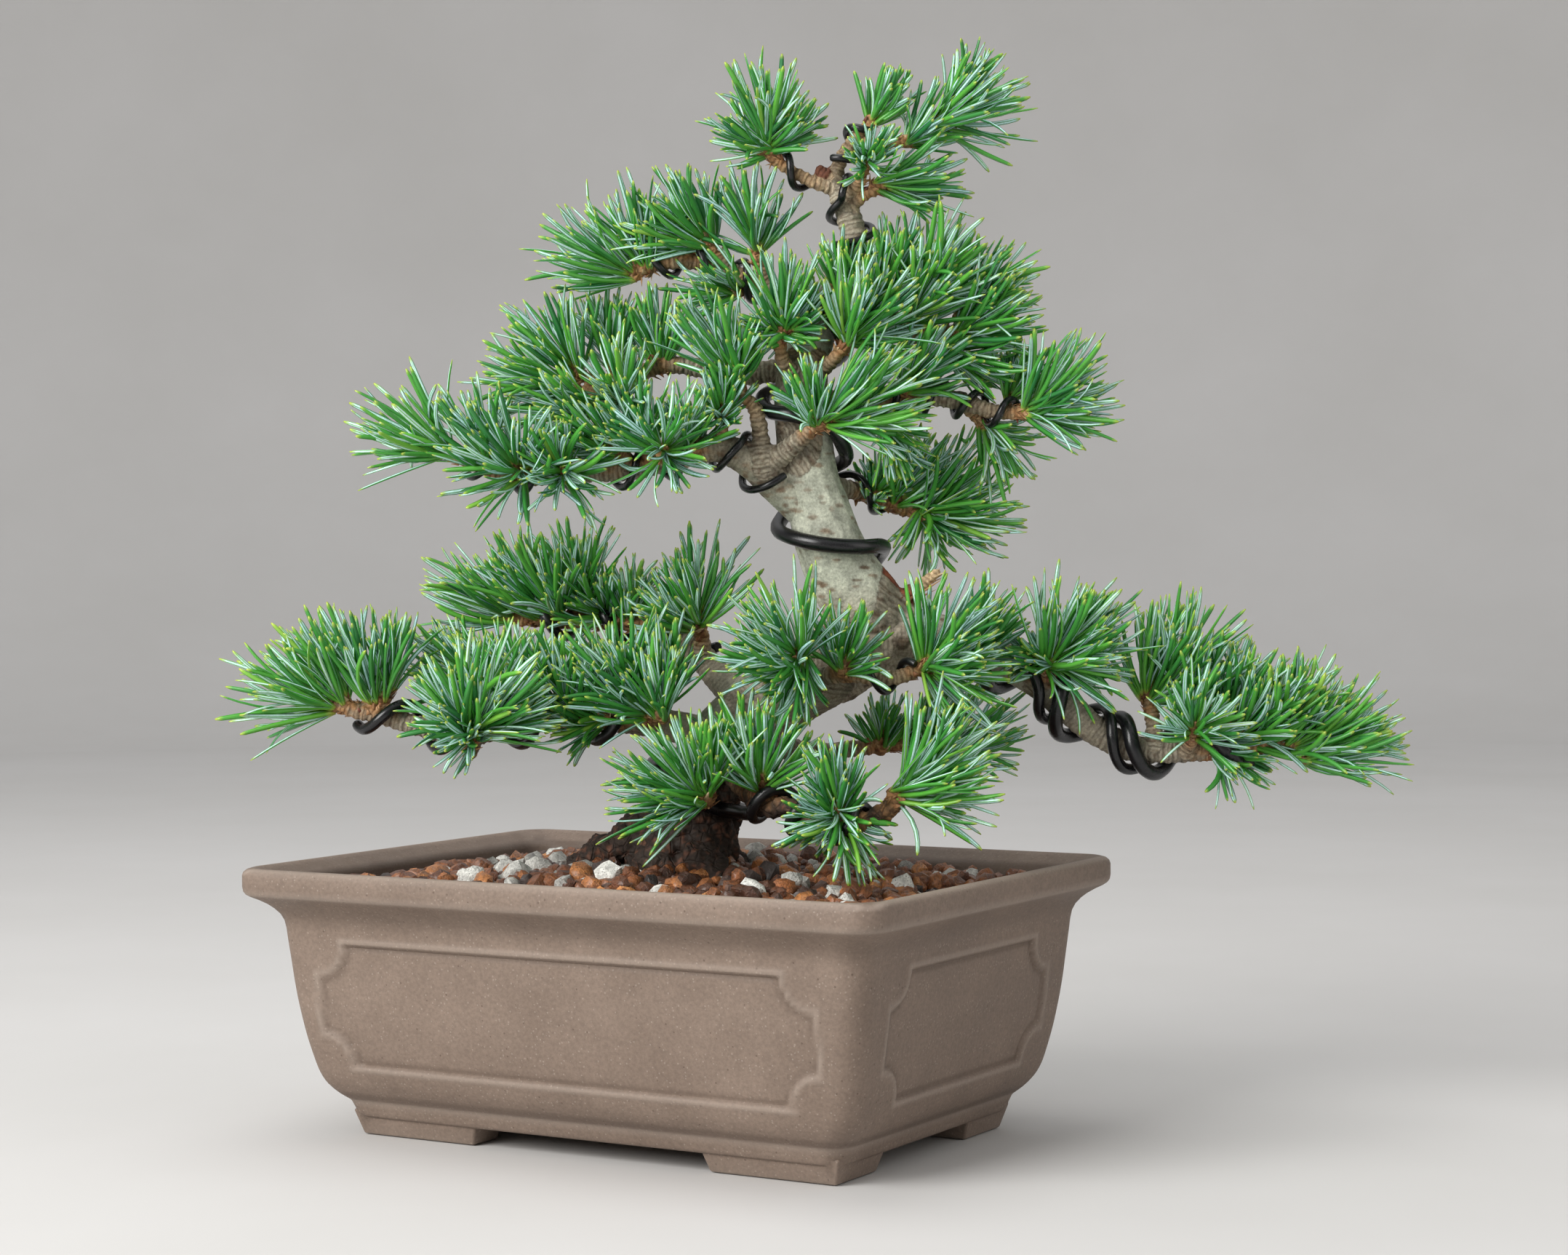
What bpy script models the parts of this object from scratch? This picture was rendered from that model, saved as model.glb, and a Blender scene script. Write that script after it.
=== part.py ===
"""A trained white pine in an unglazed rectangular pot: bonsai tree, soil, training wires and pot.

Blender 4.5, metres, +Z up. The pot's long side runs along X. The finished model stands with the
bottom centre of its whole bounding box on the origin.
"""

import math

import bmesh
import bpy
import numpy as np
from mathutils import Vector

MM = 0.001

# Driving sizes, in millimetres
POT_LENGTH = 216.0
POT_WIDTH = 152.3
POT_HEIGHT = 80.0
CLEARANCE = 0.3  # gap that touching pieces keep
TREE_TURN = 31.0  # degrees from the pot's long side to the tree's front, about +Z
TREE_SIZE = 1.0  # scale of the whole tree about the root base
SOIL_CROWN_DROP = 0.0  # soil at the trunk below the pot's rim

# Pot
RIM_BAND = 7.6  # height of the rim's outer face
RIM_SLOPE_DROP = 4.0  # the lip falls this much from its outer edge to its inner edge
LIP_WIDTH = 11.0
RIM_CORNER = 9.0  # plan radius of the rim's corners
NECK_INSET = 9.3  # from the rim's outer face in to the neck below it
NECK_DROP = 18.0  # from the rim's top down to the neck
BELLY_INSET = 13.3  # from the neck in to the foot band's top
BAND_TOP = 10.5
BAND_BOTTOM = 5.6
BAND_TAPER = 2.5  # the foot band draws in this much on each side from top to bottom
WALL = 8.0
FLOOR = 9.0  # thickness of the pot's floor
FOOT_INSET = 2.2  # from the band's lower edge in to a foot's lower edge
FOOT_LONG = 40.0  # a foot's run along the long side
FOOT_SHORT = 22.0  # and along the short side
FOOT_WALL = 13.0
PANEL_DEPTH = 0.9
PANEL_LOW = 22.4
PANEL_HIGH = 58.0
PANEL_NOTCH = 10.0  # radius of the rounded notch in each corner of a panel
PANEL_MARGIN = 13.6  # from the neck's corner to the panel's end
DRAIN_RADIUS = 6.0
DRAIN_SPACING = 88.0

# Soil
SOIL_EDGE_DROP = 6.3  # soil at the pot's wall below the pot's rim
SOIL_MOUND = 75.0  # radius of the mound round the trunk
TREE_BASE = 80.0  # height in the tree's tables at which the trunk leaves the soil

# Drain screens and their wire clips
SCREEN_SIZE = 24.0
SCREEN_THICKNESS = 1.0
SCREEN_HOLE = 3.6
SCREEN_HOLES = 3  # holes along each side
CLIP_RADIUS = 0.5
CLIP_LEG = 10.0  # how far a clip's legs reach down through the drain hole
CLIP_LEG_GAP = 1.0  # from the middle of a clip's leg to the drain hole's wall

# Training wire, as radii
WIRE_THICK = 2.25
WIRE_MEDIUM = 1.7
WIRE_THIN = 1.15

# Tree. A limb is a list of (across, forward, up, radius) in the tree's own frame: across runs to
# the right as seen from the tree's front, forward comes towards that viewer, up is height above
# the pot's feet, and the origin is the pot's centre.
LIMBS = {
    "lower_trunk": [
        (-1, 0, 70, 18.5), (1, 0, 80, 16.5), (4, 0, 90, 13.5), (6, 0, 100, 12.5), (12, 0, 112, 12),
        (22, -1, 123, 11.5), (35, -2, 132, 11.5), (48, -3, 139, 12), (59, -3, 145, 11.5),
        (66, -3, 149, 8),
    ],
    "upper_trunk": [
        (64, -3, 141, 8), (60, -3, 148, 11.5), (55, -2, 156, 11.8), (49, -1, 165, 11),
        (45, 0, 174, 10.2), (42, 0, 184, 9.4), (39, 0, 194, 8.9), (38, 0, 205, 8.5),
        (37, 0, 217, 8), (39, 0, 230, 7.2), (44, -1, 243, 6.2), (50, -1, 254, 5),
        (53, -1, 262, 4.2), (52, -1, 269, 3.8), (49, -1, 277, 3.4), (46, -1, 282, 2.6),
    ],
    "root_left": [
        (-2, 0, 90, 9), (-11, -1, 87, 7.5), (-20, -2, 84, 5), (-29, -3, 80, 3.2), (-37, -4, 73, 2),
    ],
    "root_front": [(3, 6, 85, 9), (8, 16, 81, 5.5), (13, 24, 76, 3), (16, 31, 70, 2)],
    "root_right": [(7, -4, 84, 8), (15, -9, 78, 4.5), (22, -15, 70, 2.6), (28, -20, 62, 1.8)],
    "root_back": [(-3, -8, 83, 9), (-8, -18, 76, 5), (-12, -27, 68, 2.8), (-16, -34, 59, 1.8)],
    "root_deep": [(0, 0, 74, 17), (0, 0, 60, 12), (-2, 0, 46, 6)],
    "jin": [(63, -1, 152, 4.5), (67, 0, 157, 3.2), (72, 1, 161, 2.2), (77, 1, 165, 1.2)],
    "right_limb": [
        (62, -1, 147, 9), (72, 0, 147, 7.2), (84, 1, 144, 6.3), (96, 2, 139, 5.6),
        (106, 4, 133, 5.2), (115, 5, 125, 4.8), (123, 6, 118, 4.3), (133, 7, 113, 3.9),
        (144, 8, 112, 3.5), (155, 8, 112, 3.1), (165, 8, 113, 2.7), (175, 8, 113, 2.4),
        (185, 8, 111, 2),
    ],
    "right_twig_a": [(140, 8, 113, 3), (140, 5, 120, 2.3), (139, 1, 128, 1.8)],
    "right_twig_b": [(106, 5, 133, 3), (108, 9, 136, 2.2), (110, 12, 138, 1.8)],
    "right_twig_c": [(149, 9, 112, 2.6), (150, 15, 116, 2), (150, 20, 119, 1.6)],
    "right_twig_d": [(156, 8, 112, 2.4), (159, 8, 117, 1.9), (162, 7, 122, 1.5)],
    "right_twig_e": [(169, 8, 113, 2.2), (173, 9, 116, 1.7), (177, 9, 119, 1.5)],
    "front_right_limb": [
        (38, 4, 131, 4.5), (44, 14, 135, 3), (51, 20, 136, 2.6), (57, 22, 135, 2.4),
        (65, 22, 135, 2.2), (72, 22, 138, 1.9),
    ],
    "front_right_twig": [(47, 17, 136, 2.4), (48, 20, 138, 1.8), (49, 23, 140, 1.5)],
    "knee_twig": [(82, 2, 143, 4), (85, 8, 144, 2), (86, 12, 143, 1.6)],
    "knee_front_twig": [(36, 4, 133, 4), (36, 16, 138, 2.4), (35, 27, 141, 1.7)],
    "left_limb": [
        (14, 2, 114, 7), (4, 5, 119, 5), (-10, 7, 122, 4.4), (-23, 9, 123, 4), (-37, 10, 123, 3.6),
        (-49, 11, 121, 3.4), (-61, 12, 119, 3.2), (-74, 12, 121, 3), (-84, 12, 124, 2.8),
        (-93, 12, 126, 2.5), (-101, 12, 128, 2),
    ],
    "left_twig_a": [(-59, 12, 119, 3), (-60, 20, 114, 2.2), (-59, 25, 117, 1.8), (-60, 27, 124, 1.5)],
    "left_twig_b": [(-37, 10, 123, 3), (-50, 5, 128, 2.2), (-58, 2, 130, 1.9), (-60, 0, 134, 1.5)],
    "left_twig_c": [(-84, 12, 125, 2.4), (-87, 12, 128, 1.8), (-89, 12, 131, 1.5)],
    "left_twig_d": [(-12, 7, 122, 3), (-7, 16, 123, 2), (-5, 23, 125, 1.6)],
    "left_twig_e": [(-33, 10, 124, 3), (-33, 14, 127, 2), (-34, 16, 130, 1.6)],
    "rear_left_limb": [
        (22, -4, 124, 6), (12, -10, 134, 4.6), (5, -14, 142, 3.8), (-6, -18, 149, 3.2),
        (-19, -22, 151, 2.8), (-34, -24, 151, 2.4), (-50, -24, 152, 2),
    ],
    "rear_left_twig_a": [(7, -12, 140, 3), (7, -9, 146, 2.2), (6, -7, 152, 1.7)],
    "rear_left_twig_b": [(-31, -23, 151, 2.4), (-30, -24, 157, 1.6)],
    "low_front_limb": [(9, 5, 108, 5), (7, 18, 105, 3.8), (8, 28, 101, 2.6), (8, 36, 101, 1.8)],
    "low_right_limb": [
        (13, 4, 110, 5), (19, 18, 105, 3.8), (25, 30, 100, 3.2), (36, 42, 97, 2.7),
        (45, 50, 95, 2.3), (56, 50, 97, 2), (64, 49, 102, 1.6),
    ],
    "low_right_twig_a": [(20, 20, 104, 3), (23, 28, 105, 2), (25, 34, 105, 1.5)],
    "low_right_twig_b": [(44, 49, 96, 2.3), (46, 51, 99, 1.7)],
    "rear_right_limb": [
        (18, -4, 119, 6), (30, -12, 113, 3.6), (42, -17, 111, 2.8), (54, -20, 112, 2.4),
        (67, -20, 113, 2), (81, -16, 113, 1.6),
    ],
    "middle_left_limb": [
        (39, 0, 184, 7), (30, 3, 191, 5.6), (22, 6, 198, 5), (12, 8, 202, 4.3), (0, 8, 199, 3.7),
        (-13, 9, 196, 3.3), (-26, 10, 195, 3), (-37, 10, 194, 2.7), (-47, 10, 194, 2.4),
        (-57, 10, 197, 2.1), (-68, 10, 202, 1.7),
    ],
    "middle_left_twig_a": [(26, 7, 197, 3), (24, 10, 212, 2.2), (20, 11, 217, 2), (17, 12, 223, 1.6)],
    "middle_left_twig_b": [(27, 6, 197, 4), (34, 10, 202, 3), (41, 15, 208, 2)],
    "middle_left_twig_c": [(13, 8, 204, 3), (14, 10, 209, 1.7), (14, 12, 213, 1.5)],
    "middle_left_twig_d": [(-2, 8, 199, 3), (-3, 16, 199, 2), (-4, 22, 200, 1.5)],
    "middle_left_twig_e": [(-12, 9, 196, 2.8), (-15, 12, 200, 1.8), (-18, 14, 202, 1.5)],
    "middle_left_twig_f": [(-44, 10, 194, 2.2), (-46, 16, 195, 1.6)],
    "middle_left_twig_g": [(-30, 10, 195, 2.4), (-32, 17, 195, 1.6)],
    "upper_left_limb": [
        (38, -3, 222, 4.5), (30, -4, 225, 3.6), (20, -5, 224, 3.2), (8, -5, 226, 2.9),
        (-4, -5, 227, 2.6), (-16, -5, 222, 2.3), (-26, -5, 219, 2), (-33, -3, 221, 1.6),
    ],
    "upper_left_twig": [(-18, -5, 222, 2.2), (-25, -5, 223, 1.7), (-30, -5, 226, 1.5)],
    "top_left_limb": [
        (44, -2, 241, 4), (34, -5, 246, 3.4), (24, -7, 251, 3), (14, -8, 256, 2.6),
        (4, -8, 258, 2.3), (-5, -8, 257, 2), (-14, -8, 255, 1.6),
    ],
    "top_left_twig_a": [(14, -8, 257, 2.4), (11, -8, 261, 1.8), (9, -8, 265, 1.5)],
    "top_left_twig_b": [(27, -6, 250, 2.6), (25, -5, 256, 1.8), (24, -5, 263, 1.5)],
    "front_twig_a": [(38, 4, 222, 4.5), (33, 9, 225, 2.3), (31, 12, 231, 1.9), (32, 12, 237, 1.6)],
    "front_twig_b": [(38, 4, 221, 5), (43, 9, 224, 2.3), (48, 12, 229, 1.9), (51, 12, 233, 1.6)],
    "right_middle_limb": [
        (38, -2, 216, 5), (50, -3, 215, 3.8), (62, -2, 216, 3.3), (74, -1, 217, 2.9),
        (85, 1, 215, 2.6), (95, 3, 212, 2.3), (104, 5, 212, 1.8),
    ],
    "right_middle_twig": [(84, 0, 216, 2.6), (89, -3, 211, 1.8), (92, -5, 208, 1.5)],
    "crown_right_limb": [
        (43, -1, 240, 4.2), (53, -2, 243, 3), (64, -1, 240, 2.5), (75, 1, 236, 2.2),
        (85, 2, 236, 1.7),
    ],
    "crown_right_twig_a": [(67, 0, 237, 2.4), (75, 0, 232, 1.8), (81, 0, 229, 1.5)],
    "crown_upper_limb": [(45, -1, 243, 4), (55, 0, 246, 2.4), (65, 2, 247, 2.1), (74, 4, 248, 1.7)],
    "rear_low_limb": [
        (40, -2, 190, 6), (50, -10, 190, 3), (58, -14, 188, 2.4), (67, -16, 184, 2),
        (75, -17, 183, 1.6),
    ],
    "apex_left_limb": [
        (48, -1, 279, 2.8), (42, 0, 280, 2), (36, 0, 283, 1.8), (30, 0, 287, 1.7),
        (28, 0, 292, 1.5),
    ],
    "apex_right_limb": [(47, -1, 279, 2.6), (49, -1, 286, 2.2), (53, 0, 292, 2), (60, 0, 300, 1.5)],
    "apex_right_twig_a": [(54, 0, 292, 2), (62, 1, 291, 1.6), (71, 2, 293, 1.4)],
    "apex_right_twig_b": [(51, -1, 272, 3), (56, 1, 276, 1.7), (62, 2, 278, 1.4)],
    "apex_front_twig": [(51, -1, 275, 2.8), (55, 4, 281, 1.6), (57, 9, 285, 1.3)],
    "apex_stub": [(47, -1, 281, 2.4), (43, 0, 284, 1.5)],
}

# A pad of foliage is a list of shoots: bud position, aim (across, forward, up), needle length and
# half the angle that the needles spread over.
PADS = {
    "needles_apex_left": [
        ((28, 0, 293), (0, 2, 10), 25, 40),
        ((27, 0, 291), (-8, 2, 3), 17, 35),
        ((29, 0, 291), (8, 2, 4), 18, 30),
    ],
    "needles_apex_right": [
        ((60, 0, 300), (6, 1, 9), 16, 35),
        ((71, 2, 293), (8, 2, 6), 20, 35),
        ((80, 2, 298), (10, 0, 4), 27, 40),
        ((83, -1, 304), (6, -1, 9), 19, 25),
        ((57, 9, 285), (2, 9, 2), 14, 60),
        ((62, 3, 279), (9, 1, 0), 25, 32),
    ],
    "needles_top_left": [
        ((-14, -8, 255), (-9, 1, 4), 29, 40),
        ((-9, -8, 258), (-3, 1, 9), 26, 35),
        ((9, -8, 265), (-6, 2, 7), 26, 40),
        ((7, -7, 263), (-10, 2, 1), 26, 20),
    ],
    "needles_top_middle": [
        ((24, -5, 263), (-2, 1, 10), 24, 45),
        ((18, -5, 248), (-7, 2, 2), 20, 40),
    ],
    "needles_upper_left": [
        ((-30, -5, 226), (-5, 2, 8), 27, 42),
        ((-34, -3, 221), (-10, 2, 2), 27, 35),
        ((-19, -10, 229), (-1, 0, 10), 22, 38),
        ((-5, -8, 229), (-2, 1, 10), 22, 38),
        ((-25, 5, 213), (-8, 4, 1), 24, 38),
        ((-15, 4, 217), (-2, 5, 6), 20, 48),
    ],
    "needles_inner_left": [
        ((17, 12, 223), (-6, 3, 9), 29, 28),
        ((18, 11, 223), (3, 3, 10), 20, 25),
        ((14, 12, 213), (1, 4, 6), 16, 55),
    ],
    "needles_middle_left_tip": [
        ((-68, 10, 202), (-10, 1, 4), 30, 38),
    ],
    "needles_middle_left": [
        ((-45, 16, 196), (-4, 6, 3), 25, 70),
        ((-54, 12, 200), (-5, 3, 9), 24, 38),
        ((-32, 18, 195), (1, 7, 3), 20, 70),
    ],
    "needles_middle_front": [
        ((-18, 14, 202), (-9, 4, 4), 22, 38),
        ((-3, 22, 201), (0, 8, 3), 22, 75),
        ((4, 14, 203), (3, 3, 9), 18, 42),
        ((-9, 13, 204), (-3, 2, 9), 20, 38),
    ],
    "needles_left_tip": [
        ((-102, 12, 128), (-10, 1, 4), 31, 34),
        ((-97, 12, 131), (-6, 1, 9), 28, 30),
        ((-90, 12, 131), (-3, 1, 10), 28, 28),
        ((-84, 12, 131), (1, 1, 10), 27, 25),
    ],
    "needles_left_front": [
        ((-59, 28, 120), (-8, 4, 5), 22, 40),
        ((-58, 28, 119), (4, 4, 9), 32, 36),
        ((-59, 28, 117), (-2, 6, -3), 16, 50),
    ],
    "needles_left_middle": [
        ((-60, 0, 134), (-9, 1, 6), 24, 35),
        ((-45, 13, 129), (-1, 3, 9), 24, 38),
        ((-33, 16, 128), (-2, 2, 9), 24, 35),
    ],
    "needles_rear_left": [
        ((-52, -22, 153), (-9, 0, 5), 31, 32),
        ((-42, -22, 154), (-6, 0, 8), 30, 34),
        ((-30, -24, 158), (0, 0, 10), 25, 35),
        ((-15, -18, 151), (0, 1, 10), 18, 40),
    ],
    "needles_centre_left": [
        ((6, -6, 152), (1, 1, 10), 27, 42),
        ((-11, 20, 126), (-8, 3, 6), 28, 35),
        ((-4, 23, 126), (-1, 3, 10), 22, 30),
        ((-21, 14, 123), (-9, 3, -1), 19, 35),
    ],
    "needles_low_front": [
        ((7, 36, 102), (-7, 4, 6), 29, 38),
        ((6, 36, 101), (-9, 4, -1), 29, 28),
        ((9, 35, 104), (1, 3, 10), 25, 24),
    ],
    "needles_low_middle": [
        ((25, 34, 106), (2, 4, 9), 29, 40),
    ],
    "needles_knee_front": [
        ((35, 28, 142), (-3, 6, 7), 28, 48),
        ((33, 28, 140), (-9, 4, 2), 24, 35),
        ((36, 27, 139), (-3, 5, -7), 20, 38),
        ((49, 23, 139), (2, 5, 8), 20, 48),
    ],
    "needles_low_right": [
        ((46, 51, 100), (-1, 4, 9), 22, 38),
        ((45, 51, 97), (-8, 4, -2), 17, 40),
        ((47, 51, 96), (3, 5, -7), 20, 42),
        ((64, 49, 103), (10, 3, 0), 30, 30),
        ((66, 48, 106), (7, 3, 7), 32, 26),
    ],
    "needles_rear_right": [
        ((61, -20, 114), (1, 0, 10), 15, 35),
        ((69, -20, 114), (9, 1, 2), 22, 38),
        ((84, -15, 112), (8, 2, 3), 24, 38),
    ],
    "needles_knee_right": [
        ((73, 22, 139), (5, 4, 8), 30, 38),
        ((74, 22, 137), (9, 5, -3), 26, 34),
        ((86, 12, 142), (6, 1, 8), 24, 34),
    ],
    "needles_right_inner": [
        ((109, 12, 139), (5, 3, 9), 28, 38),
        ((111, 12, 138), (10, 4, 0), 26, 38),
        ((107, 12, 139), (-9, 3, 2), 14, 30),
    ],
    "needles_right_middle": [
        ((139, 1, 129), (3, 1, 10), 28, 34),
        ((141, 1, 128), (9, 2, 6), 22, 34),
        ((162, 7, 122), (3, 0, 10), 25, 34),
        ((150, 20, 119), (1, 6, 6), 20, 65),
    ],
    "needles_right_tip": [
        ((159, 8, 112), (8, 4, -5), 18, 38),
        ((166, 10, 119), (8, 3, 5), 22, 42),
        ((177, 9, 119), (5, 2, 9), 26, 34),
        ((186, 8, 111), (9, 1, 5), 30, 30),
        ((186, 8, 110), (10, 2, 1), 30, 22),
    ],
    "needles_middle_right_tip": [
        ((105, 6, 213), (8, 2, 7), 28, 30),
        ((105, 6, 212), (10, 3, -1), 28, 28),
        ((92, -5, 208), (5, 1, -8), 22, 34),
        ((100, -4, 218), (5, -1, 7), 18, 45),
    ],
    "needles_crown_right": [
        ((85, 2, 236), (10, 2, 2), 27, 28),
        ((85, 2, 237), (7, 1, 7), 26, 26),
        ((82, 0, 229), (9, 2, -4), 22, 34),
    ],
    "needles_crown_top": [
        ((74, 4, 248), (6, 3, 8), 26, 42),
        ((65, 0, 250), (0, 0, 10), 22, 34),
        ((86, -2, 246), (9, 1, 4), 24, 34),
        ((50, 2, 248), (0, 2, 10), 18, 34),
    ],
    "needles_crown_front": [
        ((51, 12, 234), (1, 3, 10), 27, 36),
        ((52, 12, 234), (9, 4, 4), 24, 28),
        ((32, 12, 238), (0, 3, 10), 24, 36),
        ((33, 12, 236), (8, 3, 1), 13, 40),
        ((31, 12, 236), (-9, 3, 1), 12, 35),
    ],
    "needles_inner_right": [
        ((42, 16, 210), (-4, 4, 8), 20, 34),
        ((47, 16, 211), (8, 3, 7), 33, 24),
        ((47, 16, 209), (10, 3, 0), 28, 24),
        ((62, 4, 207), (5, 2, -7), 17, 34),
    ],
    "needles_rear_low": [
        ((75, -17, 183), (8, 0, 5), 28, 38),
        ((75, -17, 182), (3, 0, -9), 18, 55),
        ((59, -14, 189), (3, 2, 4), 13, 60),
    ],
}

# A wire is wound on one limb from one share of the limb's length to another:
# (limb, radius, start, end, turns, first angle in degrees)
WIRES = {
    "trunk_wire": ("upper_trunk", WIRE_THICK, 0.125, 0.726, -2.6, 195),
    "base_wire": ("lower_trunk", WIRE_THICK, 0.235, 0.330, -1.0, 180),
    "right_limb_wire": ("right_limb", WIRE_THICK, 0.24, 0.97, 3.7, 36),
    "right_limb_second_wire": ("right_limb", WIRE_MEDIUM, 0.26, 0.74, 2.43, 165),
    "left_limb_wire": ("left_limb", WIRE_MEDIUM, 0.16, 0.93, -4.0, 240),
    "rear_left_limb_wire": ("rear_left_limb", WIRE_MEDIUM, 0.28, 0.9, 2.75, 120),
    "middle_left_limb_wire": ("middle_left_limb", WIRE_THIN, 0.12, 0.93, -6.5, 30),
    "top_left_limb_wire": ("top_left_limb", WIRE_THIN, 0.22, 0.95, 3.25, 60),
    "right_middle_limb_wire": ("right_middle_limb", WIRE_THIN, 0.2, 0.95, -4.75, 120),
    "front_right_limb_wire": ("front_right_limb", WIRE_THIN, 0.45, 0.95, 1.5, 150),
    "low_right_limb_wire": ("low_right_limb", WIRE_MEDIUM, 0.3, 0.9, -3.25, 240),
    "rear_low_limb_wire": ("rear_low_limb", WIRE_THIN, 0.3, 0.8, 1.0, 225),
    "apex_left_wire": ("apex_left_limb", WIRE_THIN, 0.25, 0.8, 1.0, 150),
    "apex_right_wire": ("apex_right_limb", WIRE_THIN, 0.3, 0.8, 1.25, 315),
}

WIRE_STEPS = 9  # points to a turn
PUSH_ROUNDS = 12
SLEEVE_GAP = 0.9  # foliage stays this far from wood and wire


def material(name, colour, roughness, metallic=0.0):
    made = bpy.data.materials.new(name)
    made.use_nodes = True
    shader = made.node_tree.nodes["Principled BSDF"]
    shader.inputs["Base Color"].default_value = (*colour, 1.0)
    shader.inputs["Roughness"].default_value = roughness
    shader.inputs["Metallic"].default_value = metallic
    return made


def new_object(name, mesh, finish=None):
    made = bpy.data.objects.new(name, mesh)
    bpy.context.scene.collection.objects.link(made)
    if finish:
        mesh.materials.clear()
        mesh.materials.append(finish)
    return made


def object_from_bmesh(name, shape, finish=None):
    bmesh.ops.recalc_face_normals(shape, faces=shape.faces)
    mesh = bpy.data.meshes.new(name)
    shape.to_mesh(mesh)
    shape.free()
    return new_object(name, mesh, finish)


def baked(target):
    """Replaces an object's mesh by the evaluated one, so that its modifiers are done."""
    bpy.context.view_layer.update()
    graph = bpy.context.evaluated_depsgraph_get()
    mesh = bpy.data.meshes.new_from_object(target.evaluated_get(graph))
    target.modifiers.clear()
    target.data = mesh


def combine(target, others, operation):
    """One Boolean of target with all the others, which are used up."""
    if not others:
        return
    group = bpy.data.collections.new("operands")
    bpy.context.scene.collection.children.link(group)
    for other in others:
        bpy.context.scene.collection.objects.unlink(other)
        group.objects.link(other)
        other.hide_render = True
    boolean = target.modifiers.new("combine", "BOOLEAN")
    boolean.operation = operation
    boolean.operand_type = "COLLECTION"
    boolean.collection = group
    boolean.solver = "EXACT"
    baked(target)
    for other in others:
        bpy.data.objects.remove(other)
    bpy.data.collections.remove(group)


def volume_of(faces):
    total = 0.0
    for face in faces:
        first = face.verts[0].co
        for second, third in zip(face.verts[1:], face.verts[2:]):
            total += first.dot(second.co.cross(third.co)) / 6
    return total


def keep_largest(target):
    """Drops every loose part of the mesh but the one of largest volume."""
    shape = bmesh.new()
    shape.from_mesh(target.data)
    bmesh.ops.dissolve_degenerate(shape, dist=1e-6, edges=shape.edges)
    unseen = set(shape.faces)
    islands = []
    while unseen:
        stack = [unseen.pop()]
        island = []
        while stack:
            face = stack.pop()
            island.append(face)
            for edge in face.edges:
                for neighbour in edge.link_faces:
                    if neighbour in unseen:
                        unseen.remove(neighbour)
                        stack.append(neighbour)
        islands.append(island)
    islands.sort(key=volume_of)
    for island in islands[:-1]:
        bmesh.ops.delete(shape, geom=island, context="FACES")
    loose = [v for v in shape.verts if not v.link_faces]
    bmesh.ops.delete(shape, geom=loose, context="VERTS")
    shape.to_mesh(target.data)
    shape.free()


def add_ring(shape, points):
    return [shape.verts.new(point) for point in points]


def bridge(shape, lower, upper):
    count = len(lower)
    for i in range(count):
        j = (i + 1) % count
        shape.faces.new((lower[i], lower[j], upper[j], upper[i]))


def loft(name, rings, finish=None, closed=False):
    """A skin over rings of equal point count: capped at both ends, or joined last to first."""
    shape = bmesh.new()
    made = [add_ring(shape, ring) for ring in rings]
    for lower, upper in zip(made, made[1:]):
        bridge(shape, lower, upper)
    if closed:
        bridge(shape, made[-1], made[0])
    else:
        shape.faces.new(made[0])
        shape.faces.new(made[-1])
    return object_from_bmesh(name, shape, finish)


def box(name, low, high):
    rings = []
    for z in (low[2], high[2]):
        corners = ((low[0], low[1]), (high[0], low[1]), (high[0], high[1]), (low[0], high[1]))
        rings.append([Vector((x, y, z)) * MM for x, y in corners])
    return loft(name, rings)


def rounded_rectangle(length, width, corner, z, steps=4):
    points = []
    for quarter, (sx, sy) in enumerate(((1, 1), (-1, 1), (-1, -1), (1, -1))):
        for step in range(steps + 1):
            angle = math.radians(90 * (quarter + step / steps))
            x = sx * (length / 2 - corner) + corner * math.cos(angle)
            y = sy * (width / 2 - corner) + corner * math.sin(angle)
            points.append(Vector((x, y, z)) * MM)
    return points


# The pot


def outer_profile():
    """(height, inset from the rim's outer face) up the outside of the pot, from band to lip."""
    neck = POT_HEIGHT - NECK_DROP
    rim_low = POT_HEIGHT - RIM_BAND
    band = NECK_INSET + BELLY_INSET
    belly = [
        (BAND_BOTTOM, band + BAND_TAPER),
        (BAND_TOP, band),
        (BAND_TOP + 0.09 * (neck - BAND_TOP), NECK_INSET + 0.66 * BELLY_INSET),
        (BAND_TOP + 0.24 * (neck - BAND_TOP), NECK_INSET + 0.43 * BELLY_INSET),
        (BAND_TOP + 0.52 * (neck - BAND_TOP), NECK_INSET + 0.20 * BELLY_INSET),
        (neck, NECK_INSET),
    ]
    cove = []
    for angle in (35, 60, 80):
        turn = math.radians(angle)
        drop = (rim_low - neck) * math.sin(turn)
        cove.append((neck + drop, NECK_INSET - (NECK_INSET - 0.6) * (1 - math.cos(turn))))
    rim = [
        (rim_low, 0.6),
        (rim_low + 1.2, 0.0),
        (POT_HEIGHT - 1.4, 0.0),
        (POT_HEIGHT - 0.3, 0.7),
        (POT_HEIGHT, 2.0),
    ]
    return belly + cove + rim


def inner_profile():
    """(height, inset) down the inside of the pot, from lip to floor."""
    top = POT_HEIGHT - RIM_SLOPE_DROP
    return [
        (POT_HEIGHT - 0.4, 4.2),
        (top + 0.4, LIP_WIDTH - 1.0),
        (top - 0.8, LIP_WIDTH),
        (POT_HEIGHT - NECK_DROP, NECK_INSET + WALL),
        (BAND_TOP + 12.0, NECK_INSET + 0.43 * BELLY_INSET + WALL),
        (BAND_BOTTOM + FLOOR, NECK_INSET + BELLY_INSET + WALL),
    ]


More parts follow.
